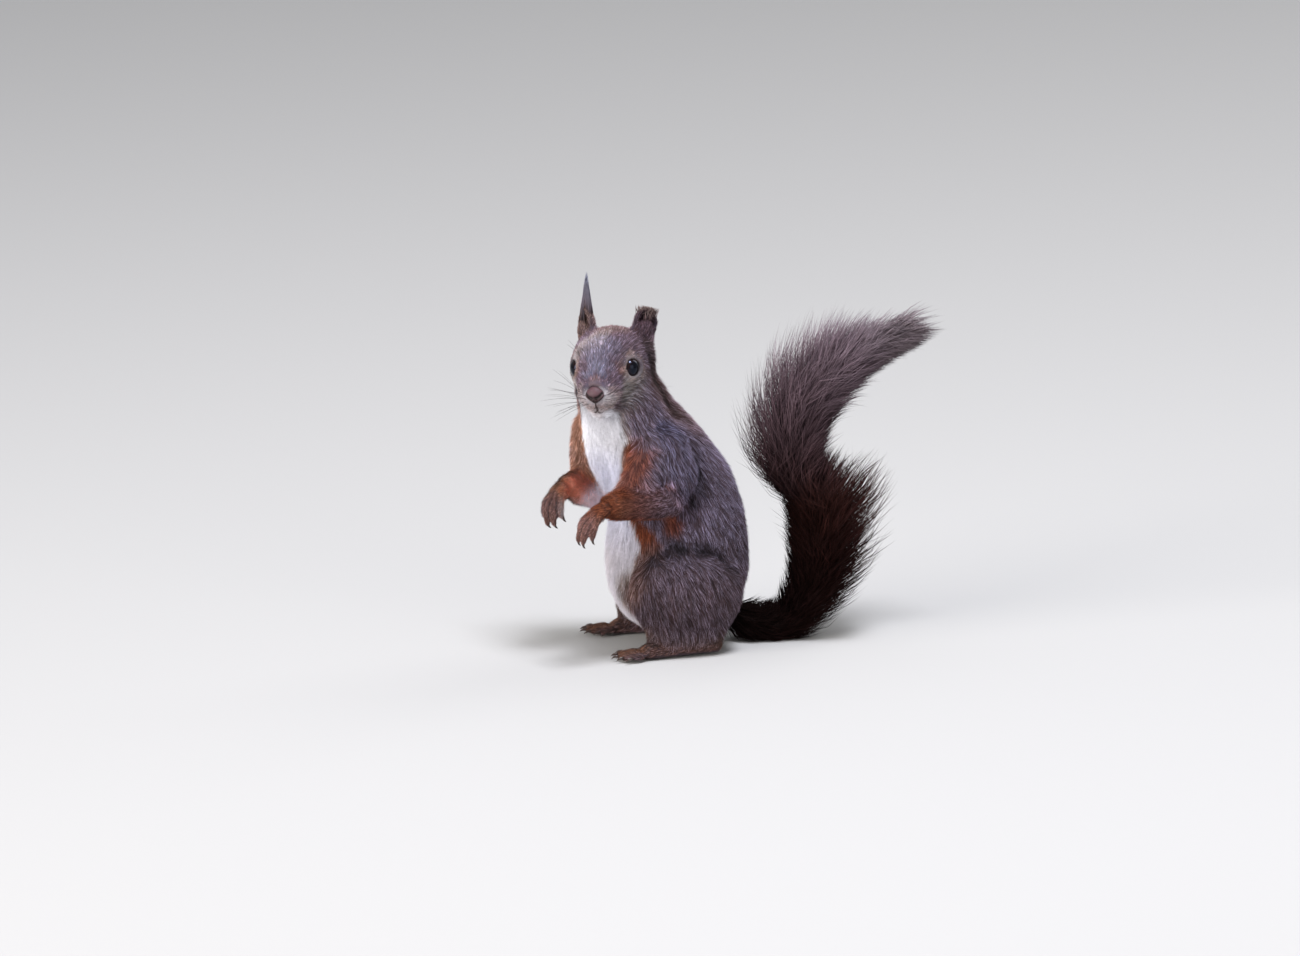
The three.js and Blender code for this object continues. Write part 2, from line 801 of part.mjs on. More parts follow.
const coats = {
  back: new THREE.MeshStandardMaterial({ color: "#5f4f4b", roughness: 0.8, metalness: 0 }),
  flank: new THREE.MeshStandardMaterial({ color: "#6b5650", roughness: 0.8, metalness: 0 }),
  limb: new THREE.MeshStandardMaterial({ color: "#8a5335", roughness: 0.8, metalness: 0 }),
  paw: new THREE.MeshStandardMaterial({ color: "#7d5240", roughness: 0.7, metalness: 0 }),
  tail: new THREE.MeshStandardMaterial({ color: "#41312f", roughness: 0.8, metalness: 0 }),
  eye: new THREE.MeshStandardMaterial({ color: "#0b090b", roughness: 0.08, metalness: 0 }),
  nose: new THREE.MeshStandardMaterial({ color: "#6a4441", roughness: 0.5, metalness: 0 }),
};

const group = new THREE.Group();

function addNode(name, solid, material) {
  const mesh = largest(solid).getMesh();
  const places = new Float32Array(mesh.numVert * 3);
  for (let i = 0; i < mesh.numVert; i++) {
    places.set(mesh.vertProperties.subarray(i * mesh.numProp, i * mesh.numProp + 3), i * 3);
  }
  const geometry = new THREE.BufferGeometry();
  geometry.setAttribute("position", new THREE.BufferAttribute(places, 3));
  geometry.setIndex(new THREE.BufferAttribute(mesh.triVerts, 1));
  geometry.computeVertexNormals();
  const node = new THREE.Mesh(geometry, material);
  node.name = name;
  group.add(node);
}

// What lies under the floor is trimmed away, which leaves the small flats that it rests on.
const floorDepth = 30;
const underFloor = toSolid(
  new THREE.BoxGeometry(400, 600, floorDepth).translate(0, 0, -floorDepth / 2),
);
const onFloor = (solid) => solid.subtract(underFloor);

const sideName = { [left]: "left", [right]: "right" };
const legs = bothSides.map((side) => ({
  name: sideName[side],
  upperArm: [upperArm(side).geometry(12, 7)],
  foreArm: [foreArm(side).geometry(10, 8)],
  hand: hand(side),
  thigh: [thigh(side).geometry(16, 10)],
  shank: [shank(side).geometry(10, 7)],
  foot: foot(side),
}));

const headPiece = [inHead(head.geometry(26, 22)), inHead(jaw.geometry(14, 9))];
const neckPiece = [neck.geometry(16, 6)];
const torsoPiece = [torso.geometry(22, 13)];
const nosePiece = [inHead(nose.geometry(10, 6))];

// head, with lids, lips and the sockets of the eyes and nose
let headSolid = joined([...headPiece, ...lids]);
for (const eye of eyes) headSolid = headSolid.subtract(joined([eye], gap));
headSolid = headSolid.subtract(joined(nosePiece, gap));
for (const line of [...lipLines, lipSplit]) headSolid = headSolid.subtract(toSolid(line));
addNode("head", headSolid, coats.back);

let noseSolid = joined(nosePiece);
for (const slit of nostrils) noseSolid = noseSolid.subtract(toSolid(slit));
addNode("nose", noseSolid, coats.nose);

bothSides.forEach((side, i) => {
  addNode("eye_" + sideName[side], joined([eyes[i]]), coats.eye);
  const ear = earShell(side);
  const cup = joined([ear.shell]).subtract(joined([ear.scoop]));
  const tufted = cup.add(joined(earTuft(side)));
  addNode("ear_" + sideName[side], tufted.subtract(joined(headPiece, gap)), coats.back);
});

// neck and torso, which give way to the head and limbs
let neckSolid = joined(neckPiece)
  .subtract(joined(headPiece, gap))
  .subtract(joined(torsoPiece, gap));
let torsoSolid = joined(torsoPiece).subtract(joined(headPiece, gap));
for (const leg of legs) {
  neckSolid = neckSolid.subtract(joined(leg.upperArm, gap));
  for (const limb of [leg.upperArm, leg.foreArm, leg.thigh, leg.shank, leg.foot]) {
    torsoSolid = torsoSolid.subtract(joined(limb, gap));
  }
}
addNode("neck", neckSolid, coats.back);
addNode("torso", torsoSolid, coats.flank);

for (const leg of legs) {
  addNode("upper_arm_" + leg.name, joined(leg.upperArm), coats.limb);
  addNode("forearm_" + leg.name, joined(leg.foreArm).subtract(joined(leg.upperArm, gap)), coats.limb);
  addNode("hand_" + leg.name, joined(leg.hand).subtract(joined(leg.foreArm, gap)), coats.paw);
  addNode("thigh_" + leg.name, joined(leg.thigh), coats.flank);
  const shankSolid = joined(leg.shank).subtract(joined(leg.thigh, gap)).subtract(joined(leg.foot, gap));
  addNode("shank_" + leg.name, shankSolid, coats.flank);
  addNode("foot_" + leg.name, onFloor(joined(leg.foot)).subtract(joined(leg.thigh, gap)), coats.paw);
}

const tailNames = ["tail_base", "tail_rise", "tail_bend", "tail_plume"];
tailNames.forEach((name, index) => {
  let solid = onFloor(joined(tailLength(index)));
  if (index === 0) solid = solid.subtract(joined(torsoPiece, gap));
  addNode(name, solid, coats.tail);
});

// The origin is on the floor, below the middle of the whole squirrel.
const box = new THREE.Box3().setFromObject(group);
group.position.set(-(box.min.x + box.max.x) / 2, -(box.min.y + box.max.y) / 2, -box.min.z);

export default group;
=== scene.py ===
import math

import bmesh
import bpy
import numpy as np
from mathutils import Matrix, Vector
from mathutils.bvhtree import BVHTree
from mathutils.kdtree import KDTree


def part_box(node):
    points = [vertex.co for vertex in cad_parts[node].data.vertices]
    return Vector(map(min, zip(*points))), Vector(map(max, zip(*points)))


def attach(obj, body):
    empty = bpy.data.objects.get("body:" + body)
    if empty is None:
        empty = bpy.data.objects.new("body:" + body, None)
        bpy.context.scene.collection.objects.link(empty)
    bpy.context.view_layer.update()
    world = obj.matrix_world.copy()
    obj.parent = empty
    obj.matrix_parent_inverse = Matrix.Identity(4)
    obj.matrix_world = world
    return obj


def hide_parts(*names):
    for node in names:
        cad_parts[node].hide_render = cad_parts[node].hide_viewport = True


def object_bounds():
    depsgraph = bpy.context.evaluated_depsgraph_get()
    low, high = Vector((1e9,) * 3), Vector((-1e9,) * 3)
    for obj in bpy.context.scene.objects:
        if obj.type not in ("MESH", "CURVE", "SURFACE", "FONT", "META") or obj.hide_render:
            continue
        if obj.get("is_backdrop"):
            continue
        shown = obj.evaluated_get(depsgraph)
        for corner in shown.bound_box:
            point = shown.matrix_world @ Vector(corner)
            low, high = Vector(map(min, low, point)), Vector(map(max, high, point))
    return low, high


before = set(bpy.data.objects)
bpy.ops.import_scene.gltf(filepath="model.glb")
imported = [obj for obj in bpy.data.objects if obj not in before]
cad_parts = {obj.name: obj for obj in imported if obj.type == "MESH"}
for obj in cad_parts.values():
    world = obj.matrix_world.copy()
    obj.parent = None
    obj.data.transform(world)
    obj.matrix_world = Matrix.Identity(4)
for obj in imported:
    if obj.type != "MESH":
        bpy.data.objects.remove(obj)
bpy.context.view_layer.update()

# Lengths are millimetres in the squirrel's own layout (hips facing -Y, left side +X) until a
# mesh is made from them. The left foot's lowest corner ties that layout to the frame.
footCorner = np.array([18.27, -34.665, 0.0])
layoutShift = np.array(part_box("foot_left")[0]) * 1000 - footCorner


def toFrame(places):
    return (np.asarray(places, float) + layoutShift) / 1000


def toLayout(places):
    return np.asarray(places, float) * 1000 - layoutShift


def at(*numbers):
    return np.array(numbers, float)


def unit(v):
    v = np.asarray(v, float)
    return v / np.maximum(np.linalg.norm(v, axis=-1, keepdims=True), 1e-9)


def lengthOf(steps):
    return np.linalg.norm(steps, axis=1)


def dot(a, b):
    return (a * b).sum(-1)


def mixed(a, b, t):
    return a + (b - a) * t


def smooth(x, low, high):
    t = np.clip((x - low) / (high - low), 0, 1)
    return t * t * (3 - 2 * t)


def fade(x, low, high):
    return 1 - smooth(x, low, high)


def turned(axis, degrees):
    return np.array(Matrix.Rotation(math.radians(degrees), 3, axis))


def linear(hexColour):
    parts = [int(hexColour[i : i + 2], 16) / 255 for i in (1, 3, 5)]
    return np.array([c / 12.92 if c <= 0.04045 else ((c + 0.055) / 1.055) ** 2.4 for c in parts])


def readOff(table, marks, x):
    # each column of a table, read between its rows
    return np.stack([np.interp(x, marks, column) for column in np.asarray(table, float).T], axis=-1)


def softNoise(places, cell, seed):
    # smooth random values from 0 to 1, on a lattice of that many millimetres; the large
    # numbers only scramble the corners of the lattice
    spot = np.asarray(places, float) / cell + seed * 17.31
    base = np.floor(spot).astype(np.int64)
    part = spot - base
    part = part * part * (3 - 2 * part)
    total = np.zeros(len(spot))
    for corner in range(8):
        step = np.array([corner & 1, corner >> 1 & 1, corner >> 2 & 1])
        c = base + step
        h = (c[:, 0] * 73856093) ^ (c[:, 1] * 19349663) ^ (c[:, 2] * 83492791) ^ (seed * 26544357)
        h = ((h ^ (h >> 13)) * 1274126177) & 0xFFFFFFFF
        h = h ^ (h >> 16)
        total += (h & 0xFFFF) / 65535 * np.prod(np.where(step, part, 1 - part), axis=1)
    return total


def curls(places, cell, seed):
    # a soft random push, the same for hairs that stand together
    return np.stack([softNoise(places, cell, seed + k) - 0.5 for k in range(3)], axis=1) * 2


def newObject(name, mesh):
    made = bpy.data.objects.new(name, mesh)
    bpy.context.scene.collection.objects.link(made)
    return made


def fromBmesh(name, bm):
    bmesh.ops.recalc_face_normals(bm, faces=bm.faces)
    mesh = bpy.data.meshes.new(name)
    bm.to_mesh(mesh)
    bm.free()
    mesh.polygons.foreach_set("use_smooth", [True] * len(mesh.polygons))
    return newObject(name, mesh)


def finished(piece, material):
    piece.data.materials.append(material)
    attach(piece, "root")


def tube(bm, path, radii, sides=8, flat=None):
    # a closed bar along points in the layout: a ring extruded from point to point
    spots = [Vector(p) for p in toFrame(path)]
    turn = edges = place = None
    for i, spot in enumerate(spots):
        ahead = (spots[min(i + 1, len(spots) - 1)] - spots[max(i - 1, 0)]).normalized()
        if turn is None:
            turn = ahead.to_track_quat("Z", "Y")
            if flat is not None:
                side = Vector(flat)
                side = (side - ahead * side.dot(ahead)).normalized()
                turn = Matrix((side, ahead.cross(side), ahead)).transposed().to_quaternion()
        else:
            turn = (turn @ Vector((0, 0, 1))).rotation_difference(ahead) @ turn
        wide, high = np.broadcast_to(radii[i], 2) / 1000
        size = Matrix.Diagonal((float(wide), float(high), 1, 1))
        new = Matrix.Translation(spot) @ turn.to_matrix().to_4x4() @ size
        if edges is None:
            made = bmesh.ops.create_circle(bm, cap_ends=True, segments=sides, radius=1, matrix=new)
            edges = list({e for v in made["verts"] for e in v.link_edges})
        else:
            made = bmesh.ops.extrude_edge_only(bm, edges=edges)["geom"]
            verts = [g for g in made if isinstance(g, bmesh.types.BMVert)]
            edges = [g for g in made if isinstance(g, bmesh.types.BMEdge)]
            bmesh.ops.transform(bm, matrix=new @ place.inverted(), verts=verts)
        place = new
    bmesh.ops.holes_fill(bm, edges=edges)


def tapered(radii, count, shares=None):
    # radii along a tube, read between the given ones
    shares = np.linspace(0, 1, len(radii)) if shares is None else shares
    return np.interp(np.linspace(0, 1, count), shares, radii)


# how the squirrel is laid out
left, right = 1, -1
bothSides = (left, right)
sideName = {left: "left", right: "right"}

chest = dict(centre=at(4, -14.1, 101.2), turn=turned("Z", 27))
head = dict(
    centre=at(8, -27.4, 133.6),
    turn=turned("Z", 59.3) @ turned("X", 6) @ turned("Y", -3.5),
    nose=at(0, -30.6, -4.7),
    eyeRadius=4.9,
)
ear = dict(
    height=13.4,
    lean={left: 0.2, right: 0.02},
    narrow={left: 0.35, right: 0.5},
    cup={left: 10.8, right: 13.4},
)
paw = dict(
    hand=dict(count=4, length=11, radius=1.55, spread=4.1, dip=0.1, hook=0.5),
    foot=dict(count=5, length=13, radius=1.95, spread=6.1, dip=-0.1, hook=0.45),
    claw=4.5,
    ball=-19.5,  # the ball of the foot, in front of the layout's middle
    furred=3,  # how much longer the coat makes a finger
)


def inHead(place):
    return np.asarray(place, float) @ head["turn"].T + head["centre"]


def toHead(places):
    return (places - head["centre"]) @ head["turn"]


def inChest(*place):
    return chest["turn"] @ at(*place) + chest["centre"]


def earFrame(side):
    rise = unit(at(ear["lean"][side], 0.3, 0.95))
    front = at(side * 0.7, -0.7, 0.1)
    front = unit(front - rise * dot(front, rise))
    base = at(side * 13.6, 8.6, 11.2)
    return (
        inHead(base),
        head["turn"] @ rise,
        head["turn"] @ front,
        head["turn"] @ np.cross(rise, front),
    )


arms = {
    left: dict(
        shoulder=inChest(18.5, -2, 5.5),
        upper=inChest(25, 0, -13),
        elbow=inChest(27.5, 2, -28),
        fore=inChest(26, -20, -28),
        wrist=inChest(22.5, -39, -26.5),
        knuckles=inChest(20.5, -46, -31),
        curl=0.5,
    ),
    right: dict(
        shoulder=inChest(-19.5, -5, 5.5),
        upper=inChest(-26, -5, -13),
        elbow=inChest(-28, -1, -27),
        fore=inChest(-23, -17, -26.5),
        wrist=inChest(-16.5, -30.5, -24),
        knuckles=inChest(-15.5, -37, -29),
        curl=0.6,
    ),
}
for arm in arms.values():
    arm["ahead"] = unit(arm["knuckles"] - arm["wrist"])
    across = chest["turn"] @ at(1, 0, 0)
    arm["across"] = unit(across - arm["ahead"] * dot(across, arm["ahead"]))
    arm["drop"] = unit(np.cross(arm["across"], arm["ahead"]))


def digits(look, base, ahead, across, drop, curl, more=0):
    # fingers or toes, fanned out from a knuckle line: three bones and a claw each
    made = []
    for i in range(look["count"]):
        place = i / (look["count"] - 1) * 2 - 1
        reach = (look["length"] + more) * (1 - 0.2 * place * place)
        way = unit(ahead + across * place * 0.22)

        def step(start, bend, far):
            return start + way * far * math.cos(bend) + drop * far * math.sin(bend)

        root = base + across * place * look["spread"] - ahead * (0.8 + 1.6 * place * place)
        joint = step(root, curl * 0.5, reach * 0.45)
        end = step(joint, curl * 1.5, reach * 0.4)
        pad = step(end, curl * 2.1, reach * 0.15)
        start = mixed(end, pad, 0.45) - drop * look["radius"] * 0.15
        under = curl * 2.1 + look["dip"]
        middle = step(start, under, paw["claw"] * 0.62)
        tip = step(middle, under + look["hook"], paw["claw"] * 0.6)
        made.append(dict(line=[root, joint, end, pad], claw=[start, middle, tip], side=across))
    return made


def handDigits(side, more=paw["furred"]):
    arm = arms[side]
    ways = (arm["ahead"], arm["across"], arm["drop"])
    return digits(paw["hand"], arm["knuckles"], *ways, arm["curl"], more)


def footDigits(side):
    base = at(side * 27.2, paw["ball"] + 1, 3.0)
    return digits(paw["foot"], base, unit(at(side * 0.1, -1, 0)), at(1, 0, 0), at(0, 0, -1), 0.07)


tailPoints = [(0, 26, 15), (0, 40, 8.5), (0, 52, 6.1), (0, 62.5, 12), (0, 68.5, 28), (0, 70, 48)]
tailPoints += [(0, 67.5, 66), (0, 64.5, 80), (0, 64.5, 93), (0, 69, 106), (0, 78.5, 118)]
tailPoints += [(0, 92, 128.5), (0, 108, 137.5)]


def curved(points, count):
    # a smooth line through the points, evenly spaced along it, and its length
    points = np.array(points, float)
    p = np.vstack([2 * points[0] - points[1], points, 2 * points[-1] - points[-2]])
    fine = []
    for i in range(1, len(p) - 2):
        t = np.linspace(0, 1, 24, endpoint=i == len(p) - 3)[:, None]
        a, b, c, d = p[i - 1 : i + 3]
        rising, bending = (c - a) * t, (2 * a - 5 * b + 4 * c - d) * t**2
        fine.append(0.5 * (2 * b + rising + bending + (3 * b - a - 3 * c + d) * t**3))
    fine = np.vstack(fine)
    far = np.concatenate([[0], np.cumsum(lengthOf(np.diff(fine, axis=0)))])
    return readOff(fine, far, np.linspace(0, far[-1], count)), far[-1]


tailLine, tailEnd = curved(tailPoints, 400)
tailAhead = unit(np.gradient(tailLine, axis=0))
tail = dict(core=5, hair=36, hollowHair=6.5, plumeHair=9)


def tailSpot(far, out, angle):
    # a place by the length along the tail, the way out from its line and the turn round it
    slot = np.clip(far, 0, tailEnd) / tailEnd * (len(tailLine) - 1)
    marks = np.arange(len(tailLine))
    spot = readOff(tailLine, marks, slot)
    ahead = unit(readOff(tailAhead, marks, slot))
    upper = np.stack([np.zeros_like(far), -ahead[..., 2], ahead[..., 1]], axis=-1)
    spot = spot + ahead * np.maximum(0, far - tailEnd)[..., None]
    spot = spot + upper * (out * np.cos(angle))[..., None]
    return spot + at(1, 0, 0) * (out * np.sin(angle))[..., None]


def hairReach(share, angle):
    # how far the tips of the tail's hair stand out from its line
    outermost = -np.cos(angle) * (1 - 2 * smooth(share, 0.4, 0.55))
    least = tail["core"] + mixed(tail["hollowHair"], tail["plumeHair"], smooth(share, 0.45, 0.65))
    full = mixed(least, tail["hair"], smooth(outermost, -0.9, 0.9))
    ending = mixed(1, 0.85, smooth(share, 0.4, 0.5)) * mixed(1, 0.36, smooth(share, 0.66, 1))
    return mixed(tail["core"] + tail["hollowHair"], full * ending, smooth(share, 0.08, 0.36))


# camera, floor and light
viewpoint = dict(
    azimuth=75,
    elevation=12,
    distance=4200,
    frameWide=590.9,
    aimRight=-6.82,
    aimUp=75.9,
    middle=(5, -5, 80),
    sensor=36,
)
turn, rise = math.radians(viewpoint["azimuth"]), math.radians(viewpoint["elevation"])
lookAhead = at(-math.sin(turn) * math.cos(rise), math.cos(turn) * math.cos(rise), -math.sin(rise))
lookRight = at(math.cos(turn), math.sin(turn), 0)
lookUp = np.cross(lookRight, lookAhead)
aim = lookRight * viewpoint["aimRight"] + lookUp * viewpoint["aimUp"]
aim = aim + lookAhead * dot(viewpoint["middle"], lookAhead)
cameraData = bpy.data.cameras.new("camera")
cameraData.sensor_width = viewpoint["sensor"]
cameraData.lens = viewpoint["sensor"] * viewpoint["distance"] / viewpoint["frameWide"]
cameraData.clip_end = 100
camera = bpy.data.objects.new("camera", cameraData)
camera.location = toFrame(aim - lookAhead * viewpoint["distance"])
camera.rotation_mode = "QUATERNION"
camera.rotation_quaternion = Vector(lookAhead).to_track_quat("-Z", "Y")
bpy.context.scene.collection.objects.link(camera)
bpy.context.scene.camera = camera

studio = dict(floorHalf=15, aimHeight=0.08, room="#e6e8ee", roomLight=0.5, floor="#b6b5b3")  # metres
bm = bmesh.new()
bmesh.ops.create_grid(bm, x_segments=1, y_segments=1, size=studio["floorHalf"])
floor = fromBmesh("floor", bm)
floor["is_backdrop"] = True

lamps = [
    dict(name="skylight", place=(0.6, 0.2, 2.2), size=0.65, power=60, colour="#f4f6ff"),
    dict(name="frontFill", place=(1.0, -2.3, 0.7), size=1.6, power=76, colour="#fffaf4"),
    dict(name="sideFill", place=(2.6, 1.0, 0.9), size=1.8, power=16, colour="#fff8f0"),
    dict(name="backRim", place=(-1.2, 2.2, 1.9), size=1.6, power=22, colour="#ffffff"),
]
for lamp in lamps:
    data = bpy.data.lights.new(lamp["name"], "AREA")
    data.size = lamp["size"]
    data.energy = lamp["power"]
    data.color = linear(lamp["colour"])
    made = bpy.data.objects.new(lamp["name"], data)
    made.location = lamp["place"]
    made.rotation_mode = "QUATERNION"
    towards = Vector((0, 0, studio["aimHeight"])) - made.location
    made.rotation_quaternion = towards.to_track_quat("-Z", "Y")
    bpy.context.scene.collection.objects.link(made)
world = bpy.data.worlds.new("studio")
bpy.context.scene.world = world
world.use_nodes = True
backdrop = world.node_tree.nodes["Background"].inputs
backdrop["Color"].default_value = (*linear(studio["room"]), 1)
backdrop["Strength"].default_value = studio["roomLight"]
bpy.context.scene.view_settings.view_transform = "Standard"
print("camera, floor and light are set")


def addNode(tree, kind, inputs=None, **settings):
    made = tree.nodes.new(kind)
    for name, value in settings.items():
        setattr(made, name, value)
    for name, value in (inputs or {}).items():
        if isinstance(value, bpy.types.NodeSocket):
            tree.links.new(value, made.inputs[name])
        else:
            made.inputs[name].default_value = value
    return made


def newMaterial(name, **surface):
    made = bpy.data.materials.new(name)
    made.use_nodes = True
    shader = made.node_tree.nodes["Principled BSDF"]
    for socket, value in surface.items():
        shader.inputs[socket.replace("_", " ")].default_value = value
    return made, made.node_tree, shader


def rgba(hexColour):
    return (*linear(hexColour), 1)


def furMaterial(name, darkest, blotch, specular=0.16, sheen=0.05):
    # fur: dull hair shafts, a faint sheen at the edges and mottling from hair to hair, in
    # blotches of that many millimetres
    made, tree, shader = newMaterial(
        name, Roughness=0.75, Specular_IOR_Level=specular, Sheen_Weight=sheen, Sheen_Roughness=0.5
    )
    colour = addNode(tree, "ShaderNodeAttribute", attribute_name="coatColour").outputs["Color"]
    spot = addNode(tree, "ShaderNodeTexCoord").outputs["Object"]
    mottle = addNode(tree, "ShaderNodeTexNoise", {"Vector": spot, "Scale": 1000 / blotch, "Detail": 3})
    span = {"From Min": 0.3, "From Max": 0.7, "To Min": darkest, "To Max": 1.08}
    shade = addNode(tree, "ShaderNodeMapRange", {"Value": mottle.outputs["Fac"], **span})
    scaled = {0: colour, "Scale": shade.outputs["Result"]}
    mix = addNode(tree, "ShaderNodeVectorMath", scaled, operation="SCALE")
    tree.links.new(mix.outputs["Vector"], shader.inputs["Base Color"])
    return made, tree, shader, spot


coatFur, *_ = furMaterial("guard hair", 0.86, 1.4)
# the tail is dark and dull, because light is lost among its long hairs
tailFur, *_ = furMaterial("tail hair", 0.8, 2.0, specular=0.06, sheen=0)
# underfur is fine wool with no direction, which shows between the tufts
underFur, tree, shader, spot = furMaterial("underfur", 0.7, 0.5)
grain = addNode(tree, "ShaderNodeTexNoise", {"Vector": spot, "Scale": 1000 / 0.4, "Detail": 4})
raised = {"Height": grain.outputs["Fac"], "Strength": 0.5, "Distance": 0.0003}
relief = addNode(tree, "ShaderNodeBump", raised)
tree.links.new(relief.outputs["Normal"], shader.inputs["Normal"])
# floor paint: even and matt, so the squirrel's shadow is all that shows on it
floorPaint, *_ = newMaterial("matte floor paint", Base_Color=rgba(studio["floor"]), Roughness=0.9)
floor.data.materials.append(floorPaint)

# the skin, one surface in place of the flesh
fleshNodes = ["head", "neck", "torso"] + [
    part + "_" + sideName[side]
    for part in ("ear", "upper_arm", "forearm", "hand", "thigh", "shank", "foot")
    for side in bothSides
]
skinLook = dict(
    grow=0.36, voxel=0.8, bodySmooth=14, napeSmooth=55, headSmooth=2, toeStub=0.5, offFloor=0.25
)


def blunted(places, claws):
    # takes the claws off a paw, back to the tips of its toes
    for claw in claws:
        way = unit(claw[1] - claw[0])
        off = places - claw[0]
        past = dot(off, way)
        beside = lengthOf(off - past[:, None] * way)
        trim = np.maximum(past - skinLook["toeStub"], 0) * (beside < 1.7)
        places = places - trim[:, None] * way
    return places


def cropped(places, side):
    # takes the tuft off an ear, down to the tip of its cup, and draws the right one in
    base, rise, _, across = earFrame(side)
    past = np.maximum(0, dot(places - base, rise) - ear["cup"][side] - 0.3)
    places = places - past[:, None] * rise
    beside = dot(places - base, across)
    high = smooth(dot(places - base, rise), 4, ear["height"]) * ear["narrow"][side]
    high = np.where(past > 0, 0.4, high)
    if side == left:  # its outer edge stays straight
        high = high * (beside < 0)
    return places - (beside * high)[:, None] * across


# soft forms that the fur adds over the flesh: each is a line and the radii along it
napeLine = [(10, -14, 145), (10, -14.2, 139), (10, -14.4, 132), (10, -14, 125.8), (7, -9.6, 118)]
napeLine += [(6, -7, 112.5), (5.5, 0, 105)]
bibLine = [(5, -33, 112), (4, -32.5, 107), (1, -29.5, 93), (-1, -26, 84), (-1, -22.5, 77), (0, -19, 69)]
chinLine = [inHead(p) for p in ((0, -12, -14.5), (0, -20, -16.4), (0, -25.5, -16.8), (0, -28.2, -16))]
leftArmLine = [(23, -9, 102), (26.5, -16, 92), (29.5, -21, 82), (33.5, -29, 74), (39, -37.5, 74.4)]
rightArmLine = [inChest(-27, 1, -20), inChest(-26, -6, -23), inChest(-23, -16, -25.5)]
swellings = [(napeLine, (6, 8, 8, 8.5, 9.8, 10.5, 8)), (bibLine, (5, 9, 8.5, 8.5, 8, 5))]
swellings += [(chinLine, (3.5, 4.6, 4.1, 2.8))]
for side in bothSides:  # the cheeks
    cheekLine = [inHead((side * x, y, z)) for x, y, z in ((10, -10, -9), (11, -4, -12), (11, 3, -10))]
    swellings.append((cheekLine, (6, 7, 6.5)))
swellings += [
    (leftArmLine, (6, 8.8, 9, 8.2, 6)),
    ([(27, -1, 74), (30, -12, 73), (34, -26, 73.5)], (6, 8, 7)),  # below the left forearm
    ([(-9, -30, 113), (-10, -35, 104), (-12, -35, 93), (-17, -31, 82)], (4, 6.8, 7, 6)),
    (rightArmLine, (5, 8, 6)),
    ([(-12, -20, 69), (-8, -28, 69), (-3, -36, 70), (0, -43, 72)], (6, 7, 6, 4.5)),
]
for side in bothSides:
    swellings += [(digit["line"], (1.8, 1.9, 1.8, 1.35)) for digit in handDigits(side)]
for side, full in ((left, 1), (right, 0.7)):  # the fur inside the ears
    base, rise, front, _ = earFrame(side)
    cupLine = [base + front, base + rise * 3.2 + front * 1.3, base + rise * 6.4 + front]
    swellings.append((cupLine, (4 * full, 3.5 * full, 2 * full)))
nape = dict(  # how far back the nape may reach at each height, and how round it is across
    height=(85.6, 97.6, 107.3, 113.6, 120.7, 125.5),
    back=(25.5, 18.9, 10.4, 5.4, -2.2, -5.6),
    middle=5,
    half=22,
    round=7,
)

skinBm = bmesh.new()
for name in fleshNodes:
    known = len(skinBm.verts)
    skinBm.from_mesh(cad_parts[name].data)
    skinBm.verts.ensure_lookup_table()
    new = skinBm.verts[known:]
    places = toLayout([v.co for v in new])
    side = left if name.endswith("left") else right
    if name.startswith("hand"):
        places = blunted(places, [d["claw"] for d in handDigits(side, 0)])
    if name.startswith("foot"):
        places = blunted(places, [d["claw"] for d in footDigits(side)])
    if name.startswith("ear"):
        places = cropped(places, side)
    for v, co in zip(new, toFrame(places)):
        v.co = co
bmesh.ops.remove_doubles(skinBm, verts=skinBm.verts, dist=4e-6)
skinBm.normal_update()
for v in skinBm.verts:
    v.co += v.normal * skinLook["grow"] / 1000
for line, radii in swellings:
    line, _ = curved(line, 12)
    tube(skinBm, line, tapered(radii, 12), sides=20)
coreFar = np.linspace(0, tailEnd, 40)
coreRadius = mixed(4.7, 2.0, coreFar / tailEnd)
tube(skinBm, tailSpot(coreFar, np.zeros(40), np.zeros(40)), coreRadius, sides=14)
skin = fromBmesh("skin", skinBm)
melt = skin.modifiers.new("one surface", "REMESH")
melt.mode = "VOXEL"
melt.voxel_size = skinLook["voxel"] / 1000
melt.use_smooth_shade = True
bpy.context.view_layer.update()
skin.data = bpy.data.meshes.new_from_object(skin.evaluated_get(bpy.context.evaluated_depsgraph_get()))
skin.modifiers.clear()
print("skin joined:", len(skin.data.polygons), "faces")

# drawn smooth, but less so at the head, the paws and the tail
skinBm = bmesh.new()
skinBm.from_mesh(skin.data)
places = toLayout([v.co for v in skinBm.verts])
x, y, z = places.T
fine = (lengthOf(places - head["centre"]) < 29) | (y > 44) | (z < 11) & (y > 34) | (z < 9)
for side in bothSides:
    fine |= lengthOf(places - arms[side]["knuckles"]) < 17
aboutNape = ~fine & (z > 84)
furthest = np.interp(z, nape["height"], nape["back"])
furthest -= ((x - nape["middle"]) / nape["half"]) ** 2 * nape["round"]
held = aboutNape & (z > 90) & (z < 126) & (y > furthest) & (y < 40)
for v, yes, back in zip(skinBm.verts, held, furthest):
    if yes:
        v.co.y = toFrame(at(0, back, 0))[1]
for chosen, times in (
    (~fine, skinLook["bodySmooth"]),
    (aboutNape, skinLook["napeSmooth"]),
    (fine, skinLook["headSmooth"]),
):
    verts = [v for v, yes in zip(skinBm.verts, chosen) if yes]
    for _ in range(times):
        bmesh.ops.smooth_vert(
            skinBm, verts=verts, factor=0.5, use_axis_x=True, use_axis_y=True, use_axis_z=True
        )
skinBm.to_mesh(skin.data)
skinBm.free()


